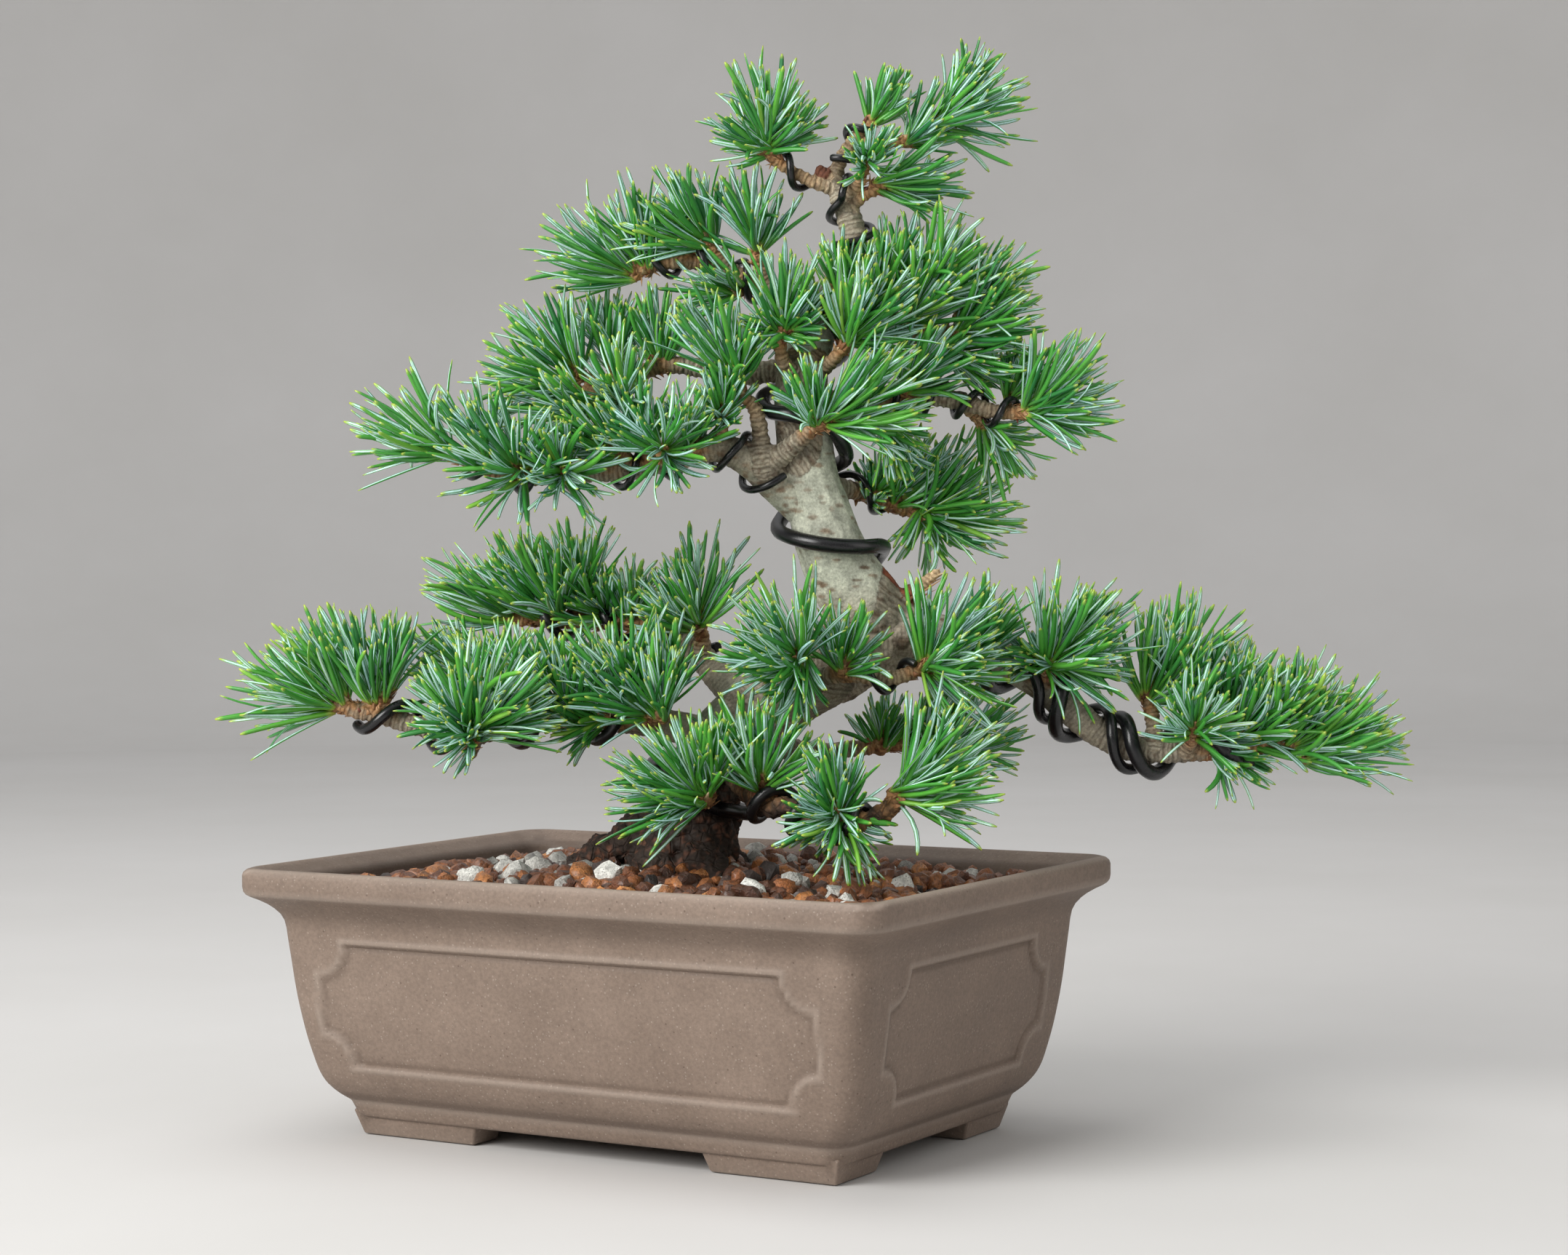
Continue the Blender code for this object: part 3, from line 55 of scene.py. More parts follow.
# The tree's limbs, as (across, forward, up, radius) in millimetres from the pot's middle, in a
# frame turned with the tree: across is to the right of its front, forward comes out of it.
LIMBS = {
    "lower_trunk": [
        (-1, 0, 70, 18.5), (1, 0, 80, 16.5), (4, 0, 90, 13.5), (6, 0, 100, 12.5), (12, 0, 112, 12),
        (22, -1, 123, 11.5), (35, -2, 132, 11.5), (48, -3, 139, 12), (59, -3, 145, 11.5),
        (66, -3, 149, 8),
    ],
    "upper_trunk": [
        (64, -3, 141, 8), (60, -3, 148, 11.5), (55, -2, 156, 11.8), (49, -1, 165, 11),
        (45, 0, 174, 10.2), (42, 0, 184, 9.4), (39, 0, 194, 8.9), (38, 0, 205, 8.5),
        (37, 0, 217, 8), (39, 0, 230, 7.2), (44, -1, 243, 6.2), (50, -1, 254, 5),
        (53, -1, 262, 4.2), (52, -1, 269, 3.8), (49, -1, 277, 3.4), (46, -1, 282, 2.6),
    ],
    "root_left": [
        (-2, 0, 90, 9), (-11, -1, 87, 7.5), (-20, -2, 84, 5), (-29, -3, 80, 3.2), (-37, -4, 73, 2),
    ],
    "root_front": [(3, 6, 85, 9), (8, 16, 81, 5.5), (13, 24, 76, 3), (16, 31, 70, 2)],
    "root_right": [(7, -4, 84, 8), (15, -9, 78, 4.5), (22, -15, 70, 2.6), (28, -20, 62, 1.8)],
    "root_back": [(-3, -8, 83, 9), (-8, -18, 76, 5), (-12, -27, 68, 2.8), (-16, -34, 59, 1.8)],
    "root_deep": [(0, 0, 74, 17), (0, 0, 60, 12), (-2, 0, 46, 6)],
    "jin": [(63, -1, 152, 4.5), (67, 0, 157, 3.2), (72, 1, 161, 2.2), (77, 1, 165, 1.2)],
    "right_limb": [
        (62, -1, 147, 9), (72, 0, 147, 7.2), (84, 1, 144, 6.3), (96, 2, 139, 5.6),
        (106, 4, 133, 5.2), (115, 5, 125, 4.8), (123, 6, 118, 4.3), (133, 7, 113, 3.9),
        (144, 8, 112, 3.5), (155, 8, 112, 3.1), (165, 8, 113, 2.7), (175, 8, 113, 2.4),
        (185, 8, 111, 2),
    ],
    "right_twig_a": [(140, 8, 113, 3), (140, 5, 120, 2.3), (139, 1, 128, 1.8)],
    "right_twig_b": [(106, 5, 133, 3), (108, 9, 136, 2.2), (110, 12, 138, 1.8)],
    "right_twig_c": [(149, 9, 112, 2.6), (150, 15, 116, 2), (150, 20, 119, 1.6)],
    "right_twig_d": [(156, 8, 112, 2.4), (159, 8, 117, 1.9), (162, 7, 122, 1.5)],
    "right_twig_e": [(169, 8, 113, 2.2), (173, 9, 116, 1.7), (177, 9, 119, 1.5)],
    "front_right_limb": [
        (38, 4, 131, 4.5), (44, 14, 135, 3), (51, 20, 136, 2.6), (57, 22, 135, 2.4),
        (65, 22, 135, 2.2), (72, 22, 138, 1.9),
    ],
    "front_right_twig": [(47, 17, 136, 2.4), (48, 20, 138, 1.8), (49, 23, 140, 1.5)],
    "knee_twig": [(82, 2, 143, 4), (85, 8, 144, 2), (86, 12, 143, 1.6)],
    "knee_front_twig": [(36, 4, 133, 4), (36, 16, 138, 2.4), (35, 27, 141, 1.7)],
    "left_limb": [
        (14, 2, 114, 7), (4, 5, 119, 5), (-10, 7, 122, 4.4), (-23, 9, 123, 4), (-37, 10, 123, 3.6),
        (-49, 11, 121, 3.4), (-61, 12, 119, 3.2), (-74, 12, 121, 3), (-84, 12, 124, 2.8),
        (-93, 12, 126, 2.5), (-101, 12, 128, 2),
    ],
    "left_twig_a": [(-59, 12, 119, 3), (-60, 20, 114, 2.2), (-59, 25, 117, 1.8), (-60, 27, 124, 1.5)],
    "left_twig_b": [(-37, 10, 123, 3), (-50, 5, 128, 2.2), (-58, 2, 130, 1.9), (-60, 0, 134, 1.5)],
    "left_twig_c": [(-84, 12, 125, 2.4), (-87, 12, 128, 1.8), (-89, 12, 131, 1.5)],
    "left_twig_d": [(-12, 7, 122, 3), (-7, 16, 123, 2), (-5, 23, 125, 1.6)],
    "left_twig_e": [(-33, 10, 124, 3), (-33, 14, 127, 2), (-34, 16, 130, 1.6)],
    "rear_left_limb": [
        (22, -4, 124, 6), (12, -10, 134, 4.6), (5, -14, 142, 3.8), (-6, -18, 149, 3.2),
        (-19, -22, 151, 2.8), (-34, -24, 151, 2.4), (-50, -24, 152, 2),
    ],
    "rear_left_twig_a": [(7, -12, 140, 3), (7, -9, 146, 2.2), (6, -7, 152, 1.7)],
    "rear_left_twig_b": [(-31, -23, 151, 2.4), (-30, -24, 157, 1.6)],
    "low_front_limb": [(9, 5, 108, 5), (7, 18, 105, 3.8), (8, 28, 101, 2.6), (8, 36, 101, 1.8)],
    "low_right_limb": [
        (13, 4, 110, 5), (19, 18, 105, 3.8), (25, 30, 100, 3.2), (36, 42, 97, 2.7),
        (45, 50, 95, 2.3), (56, 50, 97, 2), (64, 49, 102, 1.6),
    ],
    "low_right_twig_a": [(20, 20, 104, 3), (23, 28, 105, 2), (25, 34, 105, 1.5)],
    "low_right_twig_b": [(44, 49, 96, 2.3), (46, 51, 99, 1.7)],
    "rear_right_limb": [
        (18, -4, 119, 6), (30, -12, 113, 3.6), (42, -17, 111, 2.8), (54, -20, 112, 2.4),
        (67, -20, 113, 2), (81, -16, 113, 1.6),
    ],
    "middle_left_limb": [
        (39, 0, 184, 7), (30, 3, 191, 5.6), (22, 6, 198, 5), (12, 8, 202, 4.3), (0, 8, 199, 3.7),
        (-13, 9, 196, 3.3), (-26, 10, 195, 3), (-37, 10, 194, 2.7), (-47, 10, 194, 2.4),
        (-57, 10, 197, 2.1), (-68, 10, 202, 1.7),
    ],
    "middle_left_twig_a": [(26, 7, 197, 3), (24, 10, 212, 2.2), (20, 11, 217, 2), (17, 12, 223, 1.6)],
    "middle_left_twig_b": [(27, 6, 197, 4), (34, 10, 202, 3), (41, 15, 208, 2)],
    "middle_left_twig_c": [(13, 8, 204, 3), (14, 10, 209, 1.7), (14, 12, 213, 1.5)],
    "middle_left_twig_d": [(-2, 8, 199, 3), (-3, 16, 199, 2), (-4, 22, 200, 1.5)],
    "middle_left_twig_e": [(-12, 9, 196, 2.8), (-15, 12, 200, 1.8), (-18, 14, 202, 1.5)],
    "middle_left_twig_f": [(-44, 10, 194, 2.2), (-46, 16, 195, 1.6)],
    "middle_left_twig_g": [(-30, 10, 195, 2.4), (-32, 17, 195, 1.6)],
    "upper_left_limb": [
        (38, -3, 222, 4.5), (30, -4, 225, 3.6), (20, -5, 224, 3.2), (8, -5, 226, 2.9),
        (-4, -5, 227, 2.6), (-16, -5, 222, 2.3), (-26, -5, 219, 2), (-33, -3, 221, 1.6),
    ],
    "upper_left_twig": [(-18, -5, 222, 2.2), (-25, -5, 223, 1.7), (-30, -5, 226, 1.5)],
    "top_left_limb": [
        (44, -2, 241, 4), (34, -5, 246, 3.4), (24, -7, 251, 3), (14, -8, 256, 2.6),
        (4, -8, 258, 2.3), (-5, -8, 257, 2), (-14, -8, 255, 1.6),
    ],
    "top_left_twig_a": [(14, -8, 257, 2.4), (11, -8, 261, 1.8), (9, -8, 265, 1.5)],
    "top_left_twig_b": [(27, -6, 250, 2.6), (25, -5, 256, 1.8), (24, -5, 263, 1.5)],
    "front_twig_a": [(38, 4, 222, 4.5), (33, 9, 225, 2.3), (31, 12, 231, 1.9), (32, 12, 237, 1.6)],
    "front_twig_b": [(38, 4, 221, 5), (43, 9, 224, 2.3), (48, 12, 229, 1.9), (51, 12, 233, 1.6)],
    "right_middle_limb": [
        (38, -2, 216, 5), (50, -3, 215, 3.8), (62, -2, 216, 3.3), (74, -1, 217, 2.9),
        (85, 1, 215, 2.6), (95, 3, 212, 2.3), (104, 5, 212, 1.8),
    ],
    "right_middle_twig": [(84, 0, 216, 2.6), (89, -3, 211, 1.8), (92, -5, 208, 1.5)],
    "crown_right_limb": [
        (43, -1, 240, 4.2), (53, -2, 243, 3), (64, -1, 240, 2.5), (75, 1, 236, 2.2),
        (85, 2, 236, 1.7),
    ],
    "crown_right_twig_a": [(67, 0, 237, 2.4), (75, 0, 232, 1.8), (81, 0, 229, 1.5)],
    "crown_upper_limb": [(45, -1, 243, 4), (55, 0, 246, 2.4), (65, 2, 247, 2.1), (74, 4, 248, 1.7)],
    "rear_low_limb": [
        (40, -2, 190, 6), (50, -10, 190, 3), (58, -14, 188, 2.4), (67, -16, 184, 2),
        (75, -17, 183, 1.6),
    ],
    "apex_left_limb": [
        (48, -1, 279, 2.8), (42, 0, 280, 2), (36, 0, 283, 1.8), (30, 0, 287, 1.7),
        (28, 0, 292, 1.5),
    ],
    "apex_right_limb": [(47, -1, 279, 2.6), (49, -1, 286, 2.2), (53, 0, 292, 2), (60, 0, 300, 1.5)],
    "apex_right_twig_a": [(54, 0, 292, 2), (62, 1, 291, 1.6), (71, 2, 293, 1.4)],
    "apex_right_twig_b": [(51, -1, 272, 3), (56, 1, 276, 1.7), (62, 2, 278, 1.4)],
    "apex_front_twig": [(51, -1, 275, 2.8), (55, 4, 281, 1.6), (57, 9, 285, 1.3)],
    "apex_stub": [(47, -1, 281, 2.4), (43, 0, 284, 1.5)],
}

# Shoots, by the pad that they make up: where the needles spring from, the way the shoot points,
# how far the needles reach and how far they spread, in degrees. Places and ways are as in LIMBS.
PADS = {
    "apex_left": [
        ((28, 0, 293), (0, 2, 10), 25, 40), ((27, 0, 291), (-8, 2, 3), 17, 35),
        ((29, 0, 291), (8, 2, 4), 18, 30),
    ],
    "apex_right": [
        ((60, 0, 300), (6, 1, 9), 16, 35), ((71, 2, 293), (8, 2, 6), 20, 35),
        ((80, 2, 298), (10, 0, 4), 27, 40), ((83, -1, 304), (6, -1, 9), 19, 25),
        ((57, 9, 285), (2, 9, 2), 14, 60), ((62, 3, 279), (9, 1, 0), 25, 32),
    ],
    "top_left": [
        ((-14, -8, 255), (-9, 1, 4), 29, 40), ((-9, -8, 258), (-3, 1, 9), 26, 35),
        ((9, -8, 265), (-6, 2, 7), 26, 40), ((7, -7, 263), (-10, 2, 1), 26, 20),
    ],
    "top_middle": [
        ((24, -5, 263), (-2, 1, 10), 24, 45), ((18, -5, 248), (-7, 2, 2), 20, 40),
    ],
    "upper_left": [
        ((-30, -5, 226), (-5, 2, 8), 27, 42), ((-34, -3, 221), (-10, 2, 2), 27, 35),
        ((-19, -10, 229), (-1, 0, 10), 22, 38), ((-5, -8, 229), (-2, 1, 10), 22, 38),
        ((-25, 5, 213), (-8, 4, 1), 24, 38), ((-15, 4, 217), (-2, 5, 6), 20, 48),
    ],
    "inner_left": [
        ((17, 12, 223), (-6, 3, 9), 29, 28), ((18, 11, 223), (3, 3, 10), 20, 25),
        ((14, 12, 213), (1, 4, 6), 16, 55),
    ],
    "middle_left_tip": [
        ((-68, 10, 202), (-10, 1, 4), 30, 38),
    ],
    "middle_left": [
        ((-45, 16, 196), (-4, 6, 3), 25, 70), ((-54, 12, 200), (-5, 3, 9), 24, 38),
        ((-32, 18, 195), (1, 7, 3), 20, 70),
    ],
    "middle_front": [
        ((-18, 14, 202), (-9, 4, 4), 22, 38), ((-3, 22, 201), (0, 8, 3), 22, 75),
        ((4, 14, 203), (3, 3, 9), 18, 42), ((-9, 13, 204), (-3, 2, 9), 20, 38),
    ],
    "left_tip": [
        ((-102, 12, 128), (-10, 1, 4), 31, 34), ((-97, 12, 131), (-6, 1, 9), 28, 30),
        ((-90, 12, 131), (-3, 1, 10), 28, 28), ((-84, 12, 131), (1, 1, 10), 27, 25),
    ],
    "left_front": [
        ((-59, 28, 122), (-8, 4, 5), 23, 42), ((-58, 28, 121), (4, 4, 9), 32, 38),
        ((-59, 28, 119), (-3, 6, 1), 15, 55), ((-54, 26, 121), (9, 4, 5), 24, 34),
    ],
    "left_middle": [
        ((-60, 0, 134), (-9, 1, 6), 24, 35), ((-45, 13, 129), (-1, 3, 9), 24, 38),
        ((-33, 16, 128), (-2, 2, 9), 24, 35), ((-52, 8, 130), (-5, 2, 8), 24, 38),
        ((-28, 15, 124), (-3, 5, 7), 25, 40),
    ],
    "rear_left": [
        ((-52, -22, 153), (-9, 0, 5), 31, 32), ((-42, -22, 154), (-6, 0, 8), 30, 34),
        ((-30, -24, 158), (0, 0, 10), 25, 35), ((-15, -18, 151), (0, 1, 10), 20, 42),
        ((-37, -20, 154), (-4, 4, 8), 26, 40), ((-23, -21, 153), (-6, 5, 4), 22, 42),
    ],
    "centre_left": [
        ((6, -6, 152), (1, 1, 10), 27, 42), ((-11, 20, 126), (-8, 3, 6), 28, 35),
        ((-4, 23, 126), (-1, 3, 10), 22, 30), ((-21, 14, 123), (-9, 3, -1), 19, 35),
        ((-15, 15, 129), (-1, 2, 10), 28, 42), ((-3, 13, 130), (-1, 2, 10), 25, 40),
        ((4, -4, 149), (-8, 3, 6), 22, 40),
    ],
    "low_front": [
        ((7, 36, 102), (-7, 4, 6), 29, 38), ((6, 36, 101), (-9, 4, -1), 29, 28),
        ((9, 35, 104), (1, 3, 10), 25, 24),
    ],
    "low_middle": [
        ((25, 34, 106), (2, 4, 9), 29, 40), ((21, 24, 108), (-5, 2, 9), 24, 40),
    ],
    "knee_front": [
        ((35, 28, 142), (-3, 6, 7), 28, 48), ((33, 28, 140), (-9, 4, 2), 24, 35),
        ((36, 27, 139), (-3, 5, -7), 20, 38), ((49, 23, 139), (2, 5, 8), 20, 48),
    ],
    "low_right": [
        ((46, 51, 100), (-1, 4, 9), 22, 38), ((45, 51, 97), (-8, 4, -2), 17, 40),
        ((47, 51, 96), (3, 5, -7), 20, 42), ((64, 49, 103), (10, 3, 0), 30, 30),
        ((66, 48, 106), (7, 3, 7), 32, 26),
    ],
    "rear_right": [
        ((61, -20, 114), (1, 0, 10), 15, 35), ((69, -20, 114), (9, 1, 2), 22, 38),
        ((84, -15, 112), (8, 2, 3), 24, 38), ((76, -17, 114), (4, 2, 8), 22, 40),
    ],
    "knee_right": [
        ((73, 22, 139), (5, 4, 8), 30, 38), ((74, 22, 137), (9, 5, -3), 26, 34),
        ((86, 12, 142), (6, 1, 8), 24, 34),
    ],
    "right_inner": [
        ((109, 12, 139), (5, 3, 9), 28, 38), ((111, 12, 138), (10, 4, 0), 26, 38),
        ((107, 12, 139), (-9, 3, 2), 14, 30), ((112, 10, 138), (8, 2, 6), 29, 32),
    ],
    "right_middle": [
        ((139, 1, 129), (3, 1, 10), 28, 34), ((141, 1, 128), (9, 2, 6), 22, 34),
        ((162, 7, 122), (3, 0, 10), 25, 34), ((150, 20, 119), (1, 6, 6), 20, 65),
        ((145, 1, 131), (6, 1, 9), 30, 36), ((151, 4, 122), (4, 3, 9), 28, 38),
    ],
    "right_tip": [
        ((159, 8, 112), (8, 4, -5), 18, 38), ((166, 10, 119), (8, 3, 5), 22, 42),
        ((177, 9, 119), (5, 2, 9), 26, 34), ((186, 8, 111), (9, 1, 5), 30, 30),
        ((186, 8, 110), (10, 2, 1), 30, 22), ((171, 9, 116), (7, 3, 8), 27, 34),
        ((180, 9, 113), (9, 3, 5), 28, 30),
    ],
    "middle_right_tip": [
        ((105, 6, 213), (8, 2, 7), 28, 30), ((105, 6, 212), (10, 3, -1), 28, 28),
        ((92, -5, 208), (5, 1, -8), 22, 34), ((100, -4, 218), (5, -1, 7), 18, 45),
    ],
    "crown_right": [
        ((85, 2, 236), (10, 2, 2), 27, 28), ((85, 2, 237), (7, 1, 7), 26, 26),
        ((82, 0, 229), (9, 2, -4), 22, 34),
    ],
    "crown_top": [
        ((74, 4, 248), (6, 3, 8), 26, 42), ((65, 0, 250), (0, 0, 10), 22, 34),
        ((86, -2, 246), (9, 1, 4), 24, 34), ((50, 2, 248), (0, 2, 10), 18, 34),
        ((70, 6, 241), (6, 4, 7), 25, 36), ((59, 6, 242), (2, 4, 9), 24, 38),
    ],
    "crown_front": [
        ((51, 12, 234), (1, 3, 10), 27, 36), ((52, 12, 234), (9, 4, 4), 24, 28),
        ((32, 12, 238), (0, 3, 10), 24, 36), ((33, 12, 236), (8, 3, 1), 13, 40),
        ((31, 12, 236), (-9, 3, 1), 12, 35),
    ],
    "inner_right": [
        ((42, 16, 210), (-4, 4, 8), 20, 34), ((47, 16, 211), (8, 3, 7), 33, 24),
        ((47, 16, 209), (10, 3, 0), 28, 24), ((62, 4, 207), (5, 2, -7), 17, 34),
        ((68, 6, 220), (6, 4, 6), 25, 36),
    ],
    "rear_low": [
        ((75, -17, 183), (8, 0, 5), 28, 38), ((75, -17, 182), (3, 0, -9), 18, 55),
        ((59, -14, 189), (3, 2, 4), 13, 60), ((66, -15, 187), (5, 1, 8), 24, 40),
        ((75, -17, 183), (9, 2, -1), 31, 32),
    ],
}

# Training wires: the limb each winds round, its radius, the shares of the limb where it starts and
# ends, its turns and the angle it starts at.
THICK = 2.25
MEDIUM = 1.7
THIN = 1.15
WIRES = {
    "trunk_wire": ("upper_trunk", THICK, 0.125, 0.726, -2.6, 195),
    "base_wire": ("lower_trunk", THICK, 0.235, 0.330, -1.0, 180),
    "right_limb_wire": ("right_limb", THICK, 0.24, 0.97, 3.7, 36),
    "right_limb_second_wire": ("right_limb", MEDIUM, 0.26, 0.74, 2.43, 165),
    "left_limb_wire": ("left_limb", MEDIUM, 0.16, 0.93, -4.0, 240),
    "rear_left_limb_wire": ("rear_left_limb", MEDIUM, 0.28, 0.9, 2.75, 120),
    "middle_left_limb_wire": ("middle_left_limb", THIN, 0.12, 0.93, -6.5, 30),
    "top_left_limb_wire": ("top_left_limb", THIN, 0.22, 0.95, 3.25, 60),
    "right_middle_limb_wire": ("right_middle_limb", THIN, 0.2, 0.95, -4.75, 120),
    "front_right_limb_wire": ("front_right_limb", THIN, 0.45, 0.95, 1.5, 150),
    "low_right_limb_wire": ("low_right_limb", MEDIUM, 0.3, 0.9, -3.25, 240),
    "rear_low_limb_wire": ("rear_low_limb", THIN, 0.3, 0.8, 1.0, 225),
    "apex_left_wire": ("apex_left_limb", THIN, 0.25, 0.8, 1.0, 150),
    "apex_right_wire": ("apex_right_limb", THIN, 0.3, 0.8, 1.25, 315),
    "leader_wire": ("upper_trunk", THIN, 0.845, 0.985, 1.6, 300),
}

# Working tools


def at(x, y, z):
    """Millimetres from the pot's middle as a place in the frame."""
    return POT_MIDDLE + Vector((x, y, z)) * MM


def in_tree(across, forward, up):
    x = across * math.cos(TREE_TURN) + forward * math.sin(TREE_TURN)
    y = across * math.sin(TREE_TURN) - forward * math.cos(TREE_TURN)
    return at(x, y, up)


def tree_way(across, forward, up):
    return (in_tree(across, forward, up) - in_tree(0, 0, 0)).normalized()


def deselect():
    bpy.ops.object.select_all(action="DESELECT")


def pick_only(obj):
    deselect()
    obj.select_set(True)
    bpy.context.view_layer.objects.active = obj


def named(name, finish=None):
    """Names the object that an operator has just added, and gives it its material."""
    obj = bpy.context.active_object
    obj.name = name
    obj.data.name = name
    if finish:
        obj.data.materials.append(finish)
    return obj


def linked(name, data):
    """A new object in the scene."""
    obj = bpy.data.objects.new(name, data)
    bpy.context.scene.collection.objects.link(obj)
    return obj


def edit_mode(action="SELECT"):
    """Enters edit mode with everything selected, or nothing."""
    bpy.ops.object.mode_set(mode="EDIT")
    bpy.ops.mesh.select_all(action=action)


def object_mode():
    bpy.ops.object.mode_set(mode="OBJECT")


def pick_edges(obj, wanted):
    """Enters edit mode with the edges selected whose ends a and b satisfy wanted(a, b)."""
    pick_only(obj)
    edit_mode("DESELECT")
    bpy.ops.mesh.select_mode(type="EDGE")
    object_mode()
    for edge in obj.data.edges:
        edge.select = wanted(*(obj.data.vertices[i].co for i in edge.vertices))
    bpy.ops.object.mode_set(mode="EDIT")


def extrude_up(height):
    bpy.ops.mesh.extrude_region_move(TRANSFORM_OT_translate={"value": (0, 0, height)})


def widen(x, y, centre):
    bpy.ops.transform.resize(value=(x, y, 1), center_override=centre)


def face_outwards():
    """Turns every face outwards and leaves edit mode."""
    bpy.ops.mesh.select_all(action="SELECT")
    bpy.ops.mesh.normals_make_consistent(inside=False)
    object_mode()


def apply_place():
    bpy.ops.object.transform_apply(location=True, rotation=True, scale=True)


def apply_all(obj):
    """Applies every modifier, then the object's own place."""
    pick_only(obj)
    for modifier in list(obj.modifiers):
        bpy.ops.object.modifier_apply(modifier=modifier.name)
    apply_place()


def on_root(obj, slot, *nodes):
    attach(obj, "root")
    if nodes:
        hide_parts(*nodes)


def remove(obj):
    mesh = obj.data
    bpy.data.objects.remove(obj)
    bpy.data.meshes.remove(mesh)


def points_of(mesh):
    points = np.empty(len(mesh.vertices) * 3)
    mesh.vertices.foreach_get("co", points)
    return points.reshape(-1, 3)


def set_points(mesh, points):
    mesh.vertices.foreach_set("co", np.asarray(points, np.float32).ravel())
    mesh.update()


def normals_of(mesh):
    normals = np.empty(len(mesh.vertices) * 3)
    mesh.vertex_normals.foreach_get("vector", normals)
    return normals.reshape(-1, 3)


def pot_points(mesh):
    """The mesh's points in millimetres from the pot's middle."""
    return (points_of(mesh) - np.array(POT_MIDDLE)) / MM


def set_pot_points(mesh, points):
    set_points(mesh, points * MM + np.array(POT_MIDDLE))


def whole_numbers(rows, label):
    values = np.empty(len(rows), np.int32)
    rows.foreach_get(label, values)
    return values


def mark(mesh, label, values):
    """Stores one number for each point, for a material to read."""
    attribute = mesh.attributes.new(label, "FLOAT", "POINT")
    attribute.data.foreach_set("value", np.asarray(values, np.float32))


def copies(name, master, places, finish, values=None, smooth=True):
    """One object of many copies of a master's mesh. places holds each copy's points."""
    corners = whole_numbers(master.data.loops, "vertex_index")
    starts = whole_numbers(master.data.polygons, "loop_start")
    totals = whole_numbers(master.data.polygons, "loop_total")
    count, size = places.shape[:2]
    mesh = bpy.data.meshes.new(name)
    mesh.vertices.add(count * size)
    mesh.vertices.foreach_set("co", places.astype(np.float32).ravel())
    step = np.arange(count)[:, None]
    mesh.loops.add(count * len(corners))
    mesh.loops.foreach_set("vertex_index", (corners[None] + step * size).astype(np.int32).ravel())
    mesh.polygons.add(count * len(starts))
    first = (starts[None] + step * len(corners)).astype(np.int32).ravel()
    mesh.polygons.foreach_set("loop_start", first)
    mesh.polygons.foreach_set("loop_total", np.tile(totals, count).astype(np.int32))
    mesh.polygons.foreach_set("use_smooth", np.full(count * len(starts), smooth))
    mesh.update(calc_edges=True)
    if master.data.uv_layers:
        flat = np.empty(len(corners) * 2, np.float32)
        master.data.uv_layers[0].data.foreach_get("uv", flat)
        layer = mesh.uv_layers.new(name="UVMap")
        layer.data.foreach_set("uv", np.tile(flat, count))
    for label, per_copy in (values or {}).items():
        mark(mesh, label, np.repeat(per_copy, size))
    mesh.materials.append(finish)
    mesh.validate()
    return linked(name, mesh)


def smooth_step(low, high, value):
    share = np.clip((value - low) / (high - low), 0, 1)
    return share * share * (3 - 2 * share)


def any_turn():
    """A random rotation as a matrix."""
    w, x, y, z = unit(DICE.normal(size=4))
    return np.array([
        [1 - 2 * (y * y + z * z), 2 * (x * y - w * z), 2 * (x * z + w * y)],
        [2 * (x * y + w * z), 1 - 2 * (x * x + z * z), 2 * (y * z - w * x)],
        [2 * (x * z - w * y), 2 * (y * z + w * x), 1 - 2 * (x * x + y * y)],
    ])


def unit(rows):
    return rows / np.linalg.norm(rows, axis=-1, keepdims=True)


def finder_of(places):
    """A tree that finds the nearest of some places."""
    tree = KDTree(len(places))
    for i, place in enumerate(places):
        tree.insert(place, i)
    tree.balance()
    return tree


def fractal_of(points, scale):
    return np.array([noise.fractal(Vector(p) * scale, 1.0, 2.0, 3) for p in points])


# Curves through the limbs


def limb_line(name, steps):
    """A limb as a smooth line of (place, radius), with some steps to each of its spans."""
    return smooth_points([(in_tree(s, t, z), r * MM) for s, t, z, r in LIMBS[name]], steps)


def between(before, start, end, after, u):
    """A place on the curve through four points, from start (u = 0) to end (u = 1)."""
    return (start * 2 + (end - before) * u + (before * 2 - start * 5 + end * 4 - after) * u**2
            + (start * 3 - before - end * 3 + after) * u**3) / 2


def smooth_points(points, steps):
    """Extra points between the given ones, on a curve through them all."""
    made = []
    last = len(points) - 1
    for i in range(last):
        before, start = points[max(i - 1, 0)], points[i]
        end, after = points[i + 1], points[min(i + 2, last)]
        for step in range(steps):
            u = step / steps
            place = between(before[0], start[0], end[0], after[0], u)
            made.append((place, start[1] + (end[1] - start[1]) * u))
    made.append(points[last])
    return made


def tangents_of(line):
    ways = []
    for i in range(len(line)):
        ahead = line[min(i + 1, len(line) - 1)][0]
        behind = line[max(i - 1, 0)][0]
        ways.append((ahead - behind).normalized())
    return ways


def line_spans(line):
    """A line of (place, radius) as spans: start, end and their two radii."""
    return np.array([(*a, *b, first, last) for (a, first), (b, last) in zip(line, line[1:])])


def limb_spans():
    return np.concatenate([line_spans(limb_line(name, 4)) for name in LIMBS])


def nearest_span(place, spans):
    """Distances from a place to each span's surface, and the ways out from the spans."""
    start, way = spans[:, :3], spans[:, 3:6] - spans[:, :3]
    share = np.einsum("ij,ij->i", np.array(place) - start, way) / np.einsum("ij,ij->i", way, way)
    share = np.clip(share, 0.0, 1.0)
    out = np.array(place) - start - way * share[:, None]
    distance = np.linalg.norm(out, axis=1)
    return distance - spans[:, 6] - (spans[:, 7] - spans[:, 6]) * share, out, distance


# Shared effects, as node groups


